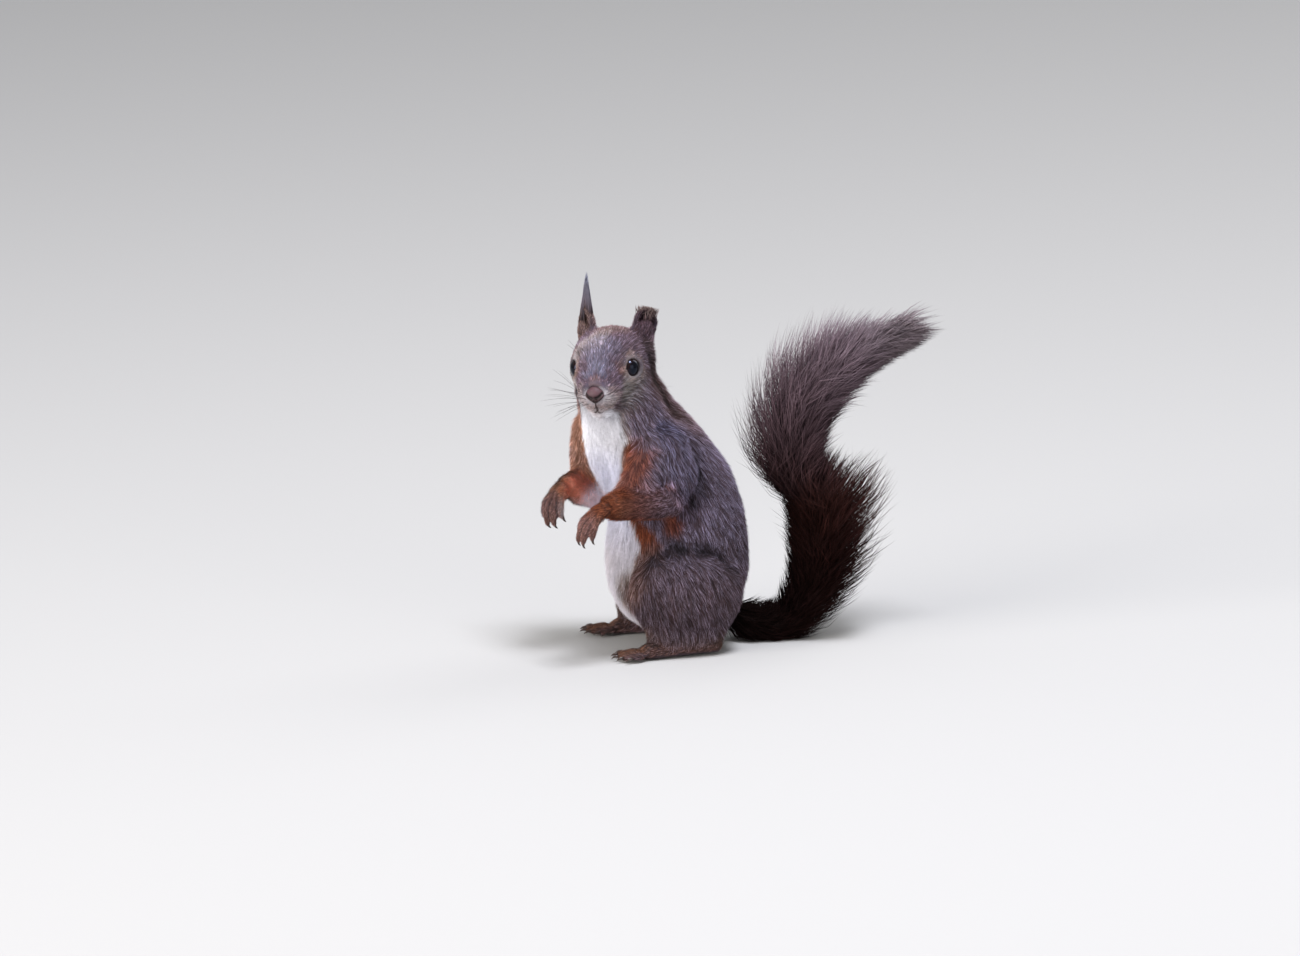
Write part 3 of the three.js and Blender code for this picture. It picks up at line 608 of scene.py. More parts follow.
# How the coat lies: along each part of the body, from the nose to the tail. Radius is how thick
# the part is, lengths and widths are of tufts, depth is from their tips down to the skin,
# density is tufts on a square mm, clump is how far apart the small locks stand.
partKeys = ("piece", "colour", "radius", "length", "wide", "lift", "depth", "density", "clump")
partLook = dict(
    muzzle=("coatHead", "#998f97", 8, 1.4, 0.16, 18, 0.45, 16, 0.6),
    head=("coatHead", "#61546a", 17, 2.6, 0.18, 18, 0.9, 10, 0.8),
    neck=("coatNeck", "#63555d", 19, 5.5, 0.25, 15, 1.7, 6, 1.3),
    torso=("coatBack", "#5d5569", 28, 7, 0.28, 15, 2.0, 6, 1.4),
    ear=("coatHead", "#43303d", 5, 2.0, 0.18, 14, 0.1, 12, 0.8),
    upperArm=("coatArms", "#454259", 9.5, 5.5, 0.26, 15, 1.5, 6, 1.3),
    foreArm=("coatArms", "#653f3a", 7, 3.6, 0.22, 15, 0.9, 8, 1.0),
    hand=("coatPaws", "#795955", 4.2, 1.4, 0.17, 14, 0.3, 12, 0.7),
    thigh=("coatLegs", "#443842", 17.5, 6.8, 0.28, 15, 1.9, 6, 1.4),
    shank=("coatLegs", "#4c3c3a", 6, 4.2, 0.26, 13, 0.9, 5, 1.1),
    foot=("coatPaws", "#634538", 5, 2.0, 0.2, 12, 0.4, 8, 0.8),
    tail=("coatTail", "#231a1c", 6, 8, 0.4, 12, 0, 0, 3),
)
lie = dict(thigh=(0, 0.3, -1), shank=(0, -0.4, -1))  # where the hair doesn't follow the line
trunkLine = [(5.5, -17, 109), (4, -12, 99), (2.5, -6, 88), (1.5, 0, 74), (0.5, 4, 58)]
trunkLine += [(0, 5, 43), (0, 6, 24), (0, 9, 3.5)]
trunkAxis = np.array(trunkLine[::-1] + [(7.5, -25, 121), (8, -27, 132)])  # with the neck's middle
partLines = [
    ("muzzle", [inHead(p) for p in ((0, -33, -8), (0, -27, -7.6), (0, -21, -6.5))]),
    ("head", [inHead(p) for p in ((0, -22, -6), (0, -14, -3), (0, -2, 0), (0, 10, 0), (0, 21, -2))]),
    ("neck", [(8, -29, 128), (7.5, -25, 121), (6, -21, 111), (4.5, -14, 98)]),
    ("torso", trunkLine),
]
legLines = dict(
    thigh=[(16, 31, 26), (21, 18, 28), (23.5, 3, 29), (24, -11, 29), (23.5, -24, 28)],
    shank=[(25, 22, 8.5), (25, -17, 15)],
    foot=[(24.5, 21, 5), (26, 0, 4.5), (27, -19.5, 4), (27.3, -34, 2.5)],
)
for side in bothSides:
    arm = arms[side]
    base, rise, *_ = earFrame(side)
    partLines += [
        ("ear", [base - rise * 2, base + rise * ear["height"]]),
        ("upperArm", [arm["shoulder"], arm["upper"], arm["elbow"]]),
        ("foreArm", [arm["elbow"], arm["fore"], arm["wrist"]]),
        ("hand", [arm["wrist"], arm["knuckles"], arm["knuckles"] + arm["ahead"] * 8 + arm["drop"] * 5]),
    ]
    partLines += [(name, np.array(line) * at(side, 1, 1)) for name, line in legLines.items()]
partLines.append(("tail", tailLine[::16]))
coatParts = [dict(zip(partKeys, partLook[name]), name=name, line=line) for name, line in partLines]
partNames = np.array([part["name"] for part in coatParts])
sideways = chest["turn"] @ at(1, 0, 0)
partSide = np.array([np.sign(dot(part["line"][0] - chest["centre"], sideways)) for part in coatParts])


def nearLine(places, line):
    # the nearest place on a line: how far off, by which way, how the line runs, how far along
    line = np.array(line, float)
    steps = np.diff(line, axis=0)
    lengths = lengthOf(steps)
    starts = np.concatenate([[0], np.cumsum(lengths)])
    best = np.full(len(places), 1e9)
    off = np.zeros((len(places), 3))
    way = np.zeros((len(places), 3))
    share = np.zeros(len(places))
    for i, step in enumerate(steps):
        t = np.clip(dot(places - line[i], step) / lengths[i] ** 2, 0, 1)
        gap = places - (line[i] + t[:, None] * step)
        far = lengthOf(gap)
        closer = far < best
        best = np.where(closer, far, best)
        off[closer] = gap[closer]
        way[closer] = step / lengths[i]
        share = np.where(closer, (starts[i] + t * lengths[i]) / starts[-1], share)
    return best, off, way, share


def partShares(places):
    # how much each part of the body has to say about the coat at each place
    weights = np.zeros((len(places), len(coatParts)))
    ways = np.zeros((len(places), len(coatParts), 3))
    spots = []
    for i, part in enumerate(coatParts):
        far, off, way, share = nearLine(places, part["line"])
        weights[:, i] = (part["radius"] / np.maximum(far, 0.5)) ** 8
        ways[:, i] = unit(lie[part["name"]]) if part["name"] in lie else way
        spots.append((off, way, share))
    return weights / weights.sum(1, keepdims=True), ways, spots


def blended(weights, key):
    return weights @ np.array([part[key] for part in coatParts], float)


def shareOf(weights, *names, side=0):
    chosen = np.isin(partNames, names)
    if side:
        chosen &= partSide == side
    return weights[:, chosen].sum(1)


eyes = {}
for side in bothSides:
    low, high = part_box("eye_" + sideName[side])
    eyes[side] = (toLayout(low) + toLayout(high)) / 2
noseSpot = inHead(head["nose"] + at(0, 1.5, 0))


# how far from the nose and the eyes the coat starts and is full, and where its first tufts stand
clearing = dict(nose=(4.0, 8.5), eye=(5.2, 9.5), lid=5.7)


def bareness(places):
    # 0 on the eyes and the nose, 1 well clear of them
    clear = smooth(lengthOf(places - noseSpot), *clearing["nose"])
    for spot in eyes.values():
        clear = np.minimum(clear, smooth(lengthOf(places - spot), *clearing["eye"]))
    return clear


# two tones here are painted shade: the dark one deep in the ear's hollow, and the bluish white low on the
# chest
palette = dict(
    white="#ededf3", rust="#a78071", cream="#af9f9b", grey="#8c94b7", dark="#2f272d", orange="#75594c",
    crown="#816d6a", wrist="#7b5845", pale="#bcb5ba", throat="#f0f0f6", mouth="#4a3535", brown="#6a4c3c",
    cheek="#a7a9ae", bridge="#867278", hollowShade="#28161b", chestnut="#683724", bluishShade="#d3d4e6",
    ginger="#f49f84", elbow="#5c5060",
)
palette = {name: linear(colour) for name, colour in palette.items()}
bib = dict(  # the white front: by height, which way it faces and half its width, in degrees
    height=(0, 10, 23, 30, 42, 61, 71, 79, 89, 99, 105, 111, 125),
    facing=(0, 0, 0, 0, 2, 2, 0, 3, 9, 14, 20, 24, 26),
    half=(10, 12, 20, 26, 34, 37, 20, 19, 26, 34, 38, 35, 32),
)
faceMarks = (  # in the head's own layout, alike on both sides: where, how far, how soft, how much
    ("crown", (0, 3, 17), 12, 0.5, 0.6),
    ("grey", (0, -14, 9), 11, 0.5, 0.35),
    ("dark", (16, 6, 6), 9, 0.5, 0.6),
    ("cheek", (12, -12, -8), 12, 0.5, 0.75),
    ("grey", (0, -20, 1), 8, 0.5, 0.8),
    ("orange", (8.5, -17, 1), 5, 0.5, 0.5),
    ("cream", (11.3, -10.4, 1.3), 8.6, 0.35, 0.65),
    ("bridge", (0, -27.5, -1.5), 4, 0.5, 0.8),
    ("pale", (5, -27.5, -9), 8, 0.8, 0.8),
    ("white", (4.2, -28.5, -5.5), 3.4, 0.5, 0.2),
    ("throat", None, 0, 0, 1),
    ("pale", (0, -28, -16), 4.5, 0.5, 0.8),
    ("mouth", (0, -31, -14.6), 2.4, 0.5, 0.9),
)
# where the coat parts over a crease: by the elbow, above the haunch and behind the cheek. The skin sinks
# along them, and painted shade darkens skin and hair there
elbowFold = [(22.5, 3, 101), (23.5, 6, 95), (23.3, 8, 87), (24, 9, 78), (25, 6, 72), (25.5, 1, 68)]
haunchFold = [(22, -13, 46), (25.3, -3, 51), (25.4, 9.4, 49.6), (24.6, 16, 47), (26, 22, 42.7)]
haunchFold += [(24, 30, 33)]
cheekFold = [(16, -14, 145), (16.1, -13.2, 140.2), (16, -12.3, 135.5), (15.2, -11.1, 131.5)]
cheekFold += [(13.9, -9.1, 126.7), (13.1, -6.8, 121.1), (13.2, -4.5, 115.9), (12.9, -1.3, 111.9)]
cheekFold += [(13, 3, 104)]
folds = []
for line, depth, width, centre, turn in (
    (elbowFold, 4.6, 6.2, chest["centre"], chest["turn"]),
    (haunchFold, 4.8, 6.4, at(0, 0, 0), np.eye(3)),
    (cheekFold, 2.0, 4.4, head["centre"], head["turn"]),
):
    other = ((np.array(line) - centre) @ turn * at(-1, 1, 1)) @ turn.T + centre
    folds += [(line, depth, width), (other, depth, width)]


def foldedIn(places):
    # how deep into a fold each place lies, in mm and as a share
    depth = np.zeros(len(places))
    share = np.zeros(len(places))
    for line, most, width in folds:
        far, _, _, along = nearLine(places, line)
        within = fade(far, 0, width) * smooth(along, 0, 0.2) * fade(along, 0.8, 1)
        within = within * np.minimum(1, 0.3 + 1.1 * softNoise(places, 4.5, 71))
        depth = np.maximum(depth, within * most)
        share = np.maximum(share, within)
    return depth, share


def coatColour(places, normals, weights):
    # the markings and the painted shade, by place alone, so skin and hair carry the same ones
    soft = weights**0.5
    soft = soft / soft.sum(1, keepdims=True)
    base = soft @ np.array([linear(part["colour"]) for part in coatParts])
    ragged = softNoise(places, 3.2, 5) - 0.5

    def lay(tone, amount):
        nonlocal base
        base = base + (palette[tone] - base) * np.clip(amount, 0, 1)[:, None]

    def facing(way, low, high, wobble=0.4):
        return smooth(dot(normals, way) + ragged * wobble, low, high)

    def beside(line, wobble, low, high):
        return fade(nearLine(places, line)[0] + ragged * wobble, low, high)

    body = shareOf(weights, "torso", "neck")
    z = places[:, 2]
    axis = readOff(trunkAxis, trunkAxis[:, 2], z)
    angle = np.degrees(np.arctan2(places[:, 0] - axis[:, 0], axis[:, 1] - places[:, 1]))
    half = np.interp(z, bib["height"], bib["half"])
    aside = angle - np.interp(z, bib["height"], bib["facing"])
    narrower = 5 * smooth(z, 70, 80) + 8 * smooth(z, 98, 112)
    aside = np.abs(aside) + ragged * 12 + (aside < 0) * narrower
    # darker towards the rump, warm beside the white front
    lay("dark", body * 0.8 * smooth(np.abs(angle), 100, 165) * fade(z, 35, 90))
    onRight = angle < 0
    warm = fade(aside, half + np.where(onRight, 30, 12), half + np.where(onRight, 45, 26))
    warm = warm * fade(z - np.where(onRight, 112, 98), 0, 10)
    lay("brown", warm * (body + 0.6 * shareOf(weights, "thigh")) * 0.6)
    warm = warm * body * smooth(z, 48, 60) * 0.9
    lay("rust", warm * onRight)
    lay("chestnut", warm * ~onRight)
    # forelegs: rust red in front and inside, greyer brown outside
    forward = chest["turn"] @ at(0, -1, 0)
    for side in bothSides:
        share = shareOf(weights, "upperArm", side=side)
        lower = shareOf(weights, "foreArm", side=side)
        tone = "chestnut" if side == left else "rust"
        lay(tone, share * facing(unit(forward * 0.65 - side * sideways * 0.75), -0.1, 0.5) * 0.9)
        ontop = unit(at(0, 0, 0.8) - side * sideways * 0.6 + forward * 0.3)
        lay(tone, lower * facing(ontop, -0.1, 0.6, wobble=0.5) * 0.85)
        along = nearLine(places, [arms[side]["elbow"], arms[side]["fore"], arms[side]["wrist"]])[3]
        lay("wrist", lower * smooth(along, 0.6, 1) * 0.7)
        if side == right:
            inner = facing(sideways, -0.2, 0.5) * 0.85
            lay("ginger", lower * inner * (1 - 0.75 * smooth(along, 0.45, 0.95)))
        else:
            lay("elbow", lower * fade(along, 0.1, 0.75) * 0.85)
    lay("chestnut", beside([(27, -27, 95), (29, -31, 84), (33, -36, 78), (36, -39, 77)], 5, 8, 15) * 0.75)
    lay("chestnut", beside([(30, -6, 64), (33, -18, 64.5), (37, -31, 66)], 2, 4, 8) * 0.8)
    white = fade(aside, half - 3, half + 5) * (body + shareOf(weights, "upperArm", side=left))
    lay("white", white)
    inner = facing(sideways, -0.3, 0.4) * 0.85
    lay("ginger", beside([(-14, -19, 70), (-8, -28, 68), (-3, -36, 69), (0, -43, 71)], 3, 8, 13) * inner)
    lay("rust", beside([(-20, -26, 100), (-19, -28, 92), (-19, -29, 82)], 3, 8, 13) * 0.85)
    # painted shade: the white turns bluish low on the chest
    lay("bluishShade", white * fade(z, 86, 104) * 0.8)
    lay("pale", white * fade(z, 42, 74) * 0.8)
    # painted shade between the fingers and the toes; the right hand is also a little darker all over
    for side in bothSides:
        toes = [digit["line"] for digit in handDigits(side) + footDigits(side)]
        off = np.sort([nearLine(places, line)[0] for line in toes], axis=0)
        past = dot(places - arms[side]["knuckles"], arms[side]["ahead"]) > 0
        past |= (places[:, 1] < paw["ball"]) & (places[:, 2] < 9)
        digitGapShade = fade(off[1] - off[0], 0.15, 0.8) * past
        digitGapShade = digitGapShade * shareOf(weights, "hand", "foot", side=side) * 0.85
        lay("dark", digitGapShade + shareOf(weights, "hand", side=side) * (side == right) * 0.25)
    # painted shade in the crease behind the cheek, brown over the nape
    lay("dark", beside(cheekFold, 3, 1.5, 5) * 0.6)
    lay("brown", body * smooth(z, 95, 110) * smooth(np.abs(angle), 125, 160) * 0.35)
    # the face, and the white throat under it
    spot = toHead(places)
    mirrored = np.hstack([np.abs(spot[:, :1]), spot[:, 1:]]) + curls(places, 2.2, 81) * 1.7
    below = smooth(-spot[:, 1], 2, 12) * fade(spot[:, 2] + ragged * 3, -18, -14)
    below = below * fade(mirrored[:, 0] + ragged * 4 + 3 * (spot[:, 0] < 0), 7, 12)
    face = shareOf(weights, "head", "muzzle")
    for tone, centre, radius, softness, amount in faceMarks:
        if tone == "throat":
            lay(tone, (face + shareOf(weights, "neck")) * below)
        else:
            far = lengthOf(mirrored - centre)
            lay(tone, face * fade(far, radius * (1 - softness), radius) * amount)
    # ears: dark outside and towards the tip, with paler brown hair inside
    for side in bothSides:
        foot, rise, front, across = earFrame(side)
        share = shareOf(weights, "ear", side=side)
        high = dot(places - foot, rise)
        inner = facing(front, 0.0, 0.5, wobble=0) * fade(np.abs(dot(places - foot, across)), 2, 4.5)
        if side == left:
            # painted shade deep in the top of the left ear's hollow
            lay("hollowShade", share * inner * smooth(high, 7.6, 9) * 0.95)
        lay("dark", share * (1 - inner) * smooth(high, 3, 9) * 0.3)
        if side == right:
            lay("crown", share * 0.6)
    # mottling at random, times painted shade that darkens the folds
    mottleAndFoldShade = (1 + 0.16 * (softNoise(places, 9, 3) - 0.5)) * (1 - 0.78 * foldedIn(places)[1] ** 1.5)
    return base * mottleAndFoldShade[:, None]


lightness = at(0.3, 0.6, 0.1)  # how much red, green and blue each count


def paleness(colour):
    return smooth(colour @ lightness, 0.22, 0.6)


def paint(mesh, colours):
    layer = mesh.color_attributes.new("coatColour", "FLOAT_COLOR", "POINT")
    layer.data.foreach_set("color", np.hstack([colours, np.ones((len(colours), 1))]).ravel())


def vertexTable(mesh):
    places, normals = np.zeros((2, len(mesh.vertices) * 3))
    mesh.vertices.foreach_get("co", places)
    mesh.vertices.foreach_get("normal", normals)
    return toLayout(places.reshape(-1, 3)), normals.reshape(-1, 3)


places, normals = vertexTable(skin.data)
weights = partShares(places)[0]
depth = blended(weights, "depth") * bareness(places) + foldedIn(places)[0]
places = places - normals * depth[:, None]
places[:, 2] = np.maximum(places[:, 2], skinLook["offFloor"])
skin.data.vertices.foreach_set("co", toFrame(places).ravel())
skin.data.update()
places, normals = vertexTable(skin.data)
colour = coatColour(places, normals, weights)
paint(skin.data, colour * mixed(0.5, 0.95, paleness(colour))[:, None])
finished(skin, underFur)
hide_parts(*fleshNodes)
print("skin lies under the coat")

skin.data.calc_loop_triangles()
corners = np.zeros(len(skin.data.loop_triangles) * 3, np.int32)
skin.data.loop_triangles.foreach_get("vertices", corners)
corners = corners.reshape(-1, 3)
skinTree = BVHTree.FromPolygons([tuple(p) for p in places], corners.tolist())


def onSkin(spots):
    # the nearest places on the skin, and which way it faces there
    found = [skinTree.find_nearest(spot) for spot in spots.tolist()]
    index = np.array([f[2] for f in found])
    return np.array([f[0] for f in found]), unit(normals[corners[index]].sum(1))


def tuftPiece(name, paths, halfWide, upward, colours, spots, material, patch=0.003):
    # thin three-sided tufts, each closed at its root and drawn out to a point, with a patch of
    # the piece's own map each
    count, steps = paths.shape[:2]
    rings = steps - 1
    ahead = unit(np.gradient(paths, axis=1))[:, :rings]
    across = unit(np.cross(ahead, upward))
    upward = np.cross(across, ahead)
    wide = halfWide[:, :rings, None]
    body = paths[:, :rings]
    edges = np.stack([body - across * wide, body + across * wide, body + upward * wide * 0.8], axis=2)
    verts = np.concatenate([edges.reshape(count, rings * 3, 3), paths[:, -1:]], axis=1)
    perTuft = rings * 3 + 1
    shades = np.concatenate([np.repeat(colours[:, :rings], 3, axis=1), colours[:, -1:]], axis=1)
    u = (0, 1, 0.5)
    loops, sizes, marks = [0, 1, 2], [3], [(0, 0), (1, 0), (0.5, 0.12)]
    for ring in range(rings):
        for i, j in ((0, 1), (1, 2), (2, 0)):
            low, high = ring / rings, (ring + 1) / rings
            if ring < rings - 1:
                loops += [ring * 3 + i, ring * 3 + 3 + i, ring * 3 + 3 + j, ring * 3 + j]
                marks += [(u[i], low), (u[i], high), (u[j], high), (u[j], low)]
                sizes.append(4)
            else:
                loops += [ring * 3 + i, rings * 3, ring * 3 + j]
                marks += [(u[i], low), ((u[i] + u[j]) / 2, 1), (u[j], low)]
                sizes.append(3)
    loops, sizes, marks = np.array(loops), np.array(sizes), np.array(marks, float)
    mesh = bpy.data.meshes.new(name)
    mesh.vertices.add(count * perTuft)
    mesh.vertices.foreach_set("co", toFrame(verts.reshape(-1, 3)).ravel())
    allLoops = (np.arange(count)[:, None] * perTuft + loops).ravel()
    mesh.loops.add(len(allLoops))
    mesh.loops.foreach_set("vertex_index", allLoops)
    starts = np.concatenate([[0], np.cumsum(sizes)[:-1]])
    mesh.polygons.add(count * len(sizes))
    mesh.polygons.foreach_set("loop_start", (np.arange(count)[:, None] * len(loops) + starts).ravel())
    mesh.polygons.foreach_set("use_smooth", np.full(count * len(sizes), steps > 2))
    mesh.update(calc_edges=True)
    uv = mesh.uv_layers.new(name="OFBake")
    spots = patch + np.clip(spots, 0, 1) * (1 - 2 * patch)
    uv.data.foreach_set("uv", (spots[:, None] + (marks - 0.5) * patch).ravel())
    paint(mesh, shades.reshape(-1, 3))
    made = newObject(name, mesh)
    finished(made, material)
    return made


def tile(spots, number, count):
    # the given one of several like squares of a map
    across = math.ceil(math.sqrt(count))
    corner = np.stack([number % across, number // across], axis=-1)
    return (corner + 0.02 + spots * 0.96) / across


def followed(spots, leads):
    # for each spot, which of the leading ones is the nearest
    tree = KDTree(len(leads))
    for i, lead in enumerate(leads):
        tree.insert(spots[lead], i)
    tree.balance()
    return leads[np.array([tree.find(spot)[1] for spot in spots.tolist()])]


def unwrapped(weights, lines):
    # where a root lies on the skin's own map: the way round its part and the way along it
    best = weights.argmax(1)
    used = sorted(set(best))
    place = np.zeros((len(best), 2))
    for k in used:
        off, along, share = lines[k]
        chosen = best == k
        b1 = unit(np.cross(along, at(0.31, 0.11, 0.94)))
        turn = np.arctan2(dot(off, np.cross(along, b1)), dot(off, b1)) / (2 * math.pi) + 0.5
        square = tile(np.stack([turn, share], axis=1), used.index(k), len(used))
        place[chosen] = square[chosen]
    return place


coatLook = dict(
    most=48000,  # tufts in a piece
    jitter=0.14,
    curl=0.26,
    gather=0.4,  # how far neighbours lean together
    sink=0.25,
    proud=0.12,  # how far tips stand up at least
    offFloor=0.3,
    shades=(0.24, 0.22),  # how much one hair differs from the next, and one lock
    speckle=0.8,  # how much more the face's hairs differ
    root=(0.52, 0.42, 0.34),  # tones beside the coat's own
    tip=(0.88, 0.74, 0.6),
    tick=0.24,  # the share of hairs with a pale tip, and its tone on dark, red and face fur
    darkTick=(4.1, 4.4, 4.4),
    redTick=(3.4, 2.9, 2.2),
    faceTick=(3.1, 3.0, 2.8),
)
coatPieces = dict(
    coatHead="coat", coatNeck="coat", coatArms="coat_rust", coatBackLeft="coat", coatBackRight="coat",
    coatLegs="coat", coatPaws="paw",
)
a, b, c = (places[corners[:, k]] for k in range(3))
areas = lengthOf(np.cross(b - a, c - a)) / 2
centres = (a + b + c) / 3
faceWeights = partShares(centres)[0]
facePiece = np.array([part["piece"] for part in coatParts])[faceWeights.argmax(1)]
middleX = np.interp(centres[:, 2], trunkAxis[:-2, 2], trunkAxis[:-2, 0])
backSide = np.where(centres[:, 0] > middleX, "coatBackLeft", "coatBackRight")
facePiece = np.where(facePiece == "coatBack", backSide, facePiece)
expected = areas * blended(faceWeights, "density") * (0.25 + 0.75 * smooth(bareness(centres), 0, 0.5))
for number, (piece, slot) in enumerate(coatPieces.items()):
    roll = np.random.default_rng(100 + number)
    mine = np.where(facePiece == piece)[0]
    wanted = int(expected[mine].sum())
    picked = roll.choice(mine, min(coatLook["most"], wanted), p=expected[mine] / expected[mine].sum())
    s, t = roll.random((2, len(picked)))
    flip = s + t > 1
    s, t = np.where(flip, 1 - s, s), np.where(flip, 1 - t, t)
    spot = [places[corners[picked, k]] for k in range(3)]
    root = spot[0] + (spot[1] - spot[0]) * s[:, None] + (spot[2] - spot[0]) * t[:, None]
    normal = unit(sum(normals[corners[picked, k]] for k in range(3)))
    # no hair on the nose, the lids and the soles
    bare = lengthOf(root - noseSpot) < clearing["nose"][0]
    bare |= (root[:, 2] < 2.5) & (normal[:, 2] < -0.4)
    for spot in eyes.values():
        bare |= lengthOf(root - spot) < clearing["lid"]
    root, normal = root[~bare], normal[~bare]
    count = len(root)
    weights, ways, lines = partShares(root)
    way = (weights[:, :, None] * ways).sum(1)
    way += curls(root, 4.5, 11) * coatLook["curl"] + roll.normal(0, coatLook["jitter"], (count, 3))
    way = unit(way - normal * dot(way, normal)[:, None])
    chin = smooth(-toHead(root)[:, 1], 0, 8) * smooth(root[:, 2], 102, 114)
    length = blended(weights, "length") * (0.75 + 0.4 * roll.random(count)) * (0.4 + 0.6 * bareness(root))
    length *= (0.85 + 0.3 * softNoise(root, 5, 21)) * (1 - 0.45 * chin * shareOf(weights, "neck"))
    wide = blended(weights, "wide") / 2 * (0.75 + 0.5 * roll.random(count))
    lift = np.sin(np.radians(blended(weights, "lift") * (0.5 + 1.0 * roll.random(count)))) * length
    crossing = np.maximum(foldedIn(root)[1], foldedIn(root + way * length[:, None] * 0.75)[1])
    length *= 1 - 0.5 * crossing  # hair on the brink of a fold is short, so the fold stays open
    end, up = onSkin(root + way * length[:, None])
    tip = end + up * (lift + coatLook["proud"])[:, None]
    path = np.stack([root - normal * coatLook["sink"], tip], axis=1)
    # neighbours lean together into small locks, each with its own shade
    spacing = blended(weights, "clump")
    leading = roll.random(count) < 1 / np.maximum(1, blended(weights, "density") * spacing**2)
    lead = followed(root, np.where(leading)[0])
    gap = root - root[lead]
    near = (lengthOf(gap) < spacing * 1.8) & (dot(normal, normal[lead]) > 0.6)
    pull = near * coatLook["gather"] * (0.5 + 0.5 * roll.random(count))
    path[:, 1] = mixed(path[:, 1], path[lead, 1] + gap * 0.25, pull[:, None])
    path[..., 2] = np.maximum(path[..., 2], coatLook["offFloor"])
    # pale hair is even, dark hair is ticked
    colour = coatColour(root, normal, weights)
    light = paleness(colour)[:, None]
    hairShade, lockShade = coatLook["shades"]
    speckle = 1 + coatLook["speckle"] * shareOf(weights, "head", "muzzle")
    shade = roll.normal(0, hairShade, count) * speckle
    shade += roll.normal(0, lockShade, count)[lead]
    shade = np.exp(shade[:, None] * (1 - 0.75 * light))
    ticked = (roll.random(count) < coatLook["tick"])[:, None]
    red = smooth(colour[:, :1] / colour[:, 1:2], 1.6, 2.6)
    pale = mixed(at(*coatLook["darkTick"]), at(*coatLook["redTick"]), red)
    pale = mixed(pale, at(*coatLook["faceTick"]), shareOf(weights, "head", "muzzle", "ear")[:, None])
    pale = 1 + (pale - 1) * np.minimum(1, 0.1 / (colour @ lightness))[:, None]
    tone = colour * mixed(np.where(ticked, pale, coatLook["tip"]), 1.04, light)
    tone = tone + ticked * (1 - light) * (1 - red) * at(0.035, 0.035, 0.034)
    # painted shade: hair that crosses a fold is darker
    tone = tone * (1 - 0.6 * crossing**1.5)[:, None]
    tones = np.stack([colour * mixed(at(*coatLook["root"]), 0.93, light) * shade, tone * shade], axis=1)
    place = unwrapped(weights, lines)
    tuftPiece(piece, path, wide[:, None] * at(1, 0), normal[:, None], tones, place, coatFur)
    print(piece, count, "tufts, for", wanted)

# the tail's long hair, combed back from its core and fanning out at the bend
tailLook = dict(
    hairs=12000,  # in a piece
    wide=0.42,
    least=17,
    most=34,
    sway=0.24,
    bend=0.2,
    gather=0.34,
    droop=7,
    furthest=1.22,  # where the longest tips end, as a share of the way out to the outline
    shorter=0.82,  # how much of that the shortest are short of it
    crowd=0.85,  # below 1, more of them are short
    offFloor=0.3,
    tipsOff=0.6,
    share=(0, 0.28, 0.42, 0.6, 0.8, 1),  # the shares along the tail at which the shades are given
    core=("#110605", "#120605", "#1a0a09", "#2b1d22", "#483a40", "#73666b"),
    tips=("#180a08", "#281311", "#361d19", "#57464b", "#82717a", "#b0a4aa"),
)


def shadeAlong(which, share):
    return readOff([linear(colour) for colour in tailLook[which]], tailLook["share"], share)


tailPieces = dict(coatTailLow=("tail_base", "tail_rise"), coatTailHigh=("tail_bend", "tail_plume"))
for number, (piece, nodes) in enumerate(tailPieces.items()):
    roll = np.random.default_rng(300 + number)
    count = tailLook["hairs"]
    share = 0.02 + 0.98 * (number + roll.random(count)) / 2
    far = share * tailEnd
    angle = roll.random(count) * 2 * math.pi
    core = np.interp(far, coreFar, coreRadius) * 0.8
    short = tailLook["shorter"] * roll.random(count) ** tailLook["crowd"]
    reach = hairReach(share, angle) * (tailLook["furthest"] - short)
    reach = np.maximum(reach, core + 2 + 2 * roll.random(count))
    length = mixed(tailLook["least"], tailLook["most"], smooth(share, 0.08, 0.36))
    shorter = mixed(1, 0.48 + 0.5 * roll.random(count), smooth(share, 0.7, 1))
    length *= shorter * (0.65 + 0.42 * roll.random(count))
    rooted = tailSpot(far, core, angle)
    sway = (softNoise(rooted, 5, 41) - 0.5) * 0.9 + roll.normal(0, tailLook["sway"], count)
    bend = 1.3 + (softNoise(rooted, 6, 43) - 0.5) * 0.7 + roll.normal(0, tailLook["bend"], count)
    wide = tailLook["wide"] / 2 * (0.6 + 0.7 * roll.random(count))
    steps = np.array([0, 0.24, 0.58, 1.0])
    path = []
    for t in steps:
        out = core + (reach - core) * (1 - (1 - t) ** bend)
        path.append(tailSpot(far + length * t * mixed(1, 0.88, t), out, angle + sway * t * t))
    path = np.stack(path, axis=1)
    path[..., 2] -= tailLook["droop"] * smooth(share, 0.72, 1)[:, None] * steps**2
    lead = followed(path[:, 3], roll.choice(count, count // 12))
    pull = tailLook["gather"] * roll.random(count)
    for step, amount in ((2, 0.5), (3, 1.0)):
        path[:, step] = mixed(path[:, step], path[lead, step], (pull * amount)[:, None])
    path[..., 2] = np.maximum(path[..., 2], tailLook["offFloor"] + tailLook["tipsOff"] * steps)
    upward = unit(path - tailSpot(far, np.zeros(count), angle)[:, None])[:, :3]
    shade = np.exp(roll.normal(0, 0.17, count) + roll.normal(0, 0.16, count)[lead])[:, None]
    outer = smooth(reach, 8, 26)[:, None]
    near, tips = shadeAlong("core", share), shadeAlong("tips", share)
    tones = [near * 0.6, near * 0.85, mixed(near, tips, 0.15 + 0.45 * outer)]
    tones = np.stack([tone * shade for tone in tones + [mixed(near, tips, 0.3 + 0.7 * outer)]], axis=1)
    place = np.stack([angle / (2 * math.pi), (share - 0.02) / 0.98 * 2 - number], axis=1)
    wide = wide[:, None] * at(0.8, 1, 0.75, 0)
    made = tuftPiece(piece, path, wide, upward, tones, place, tailFur)
    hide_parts(*nodes)
    print(piece, count, "hairs")

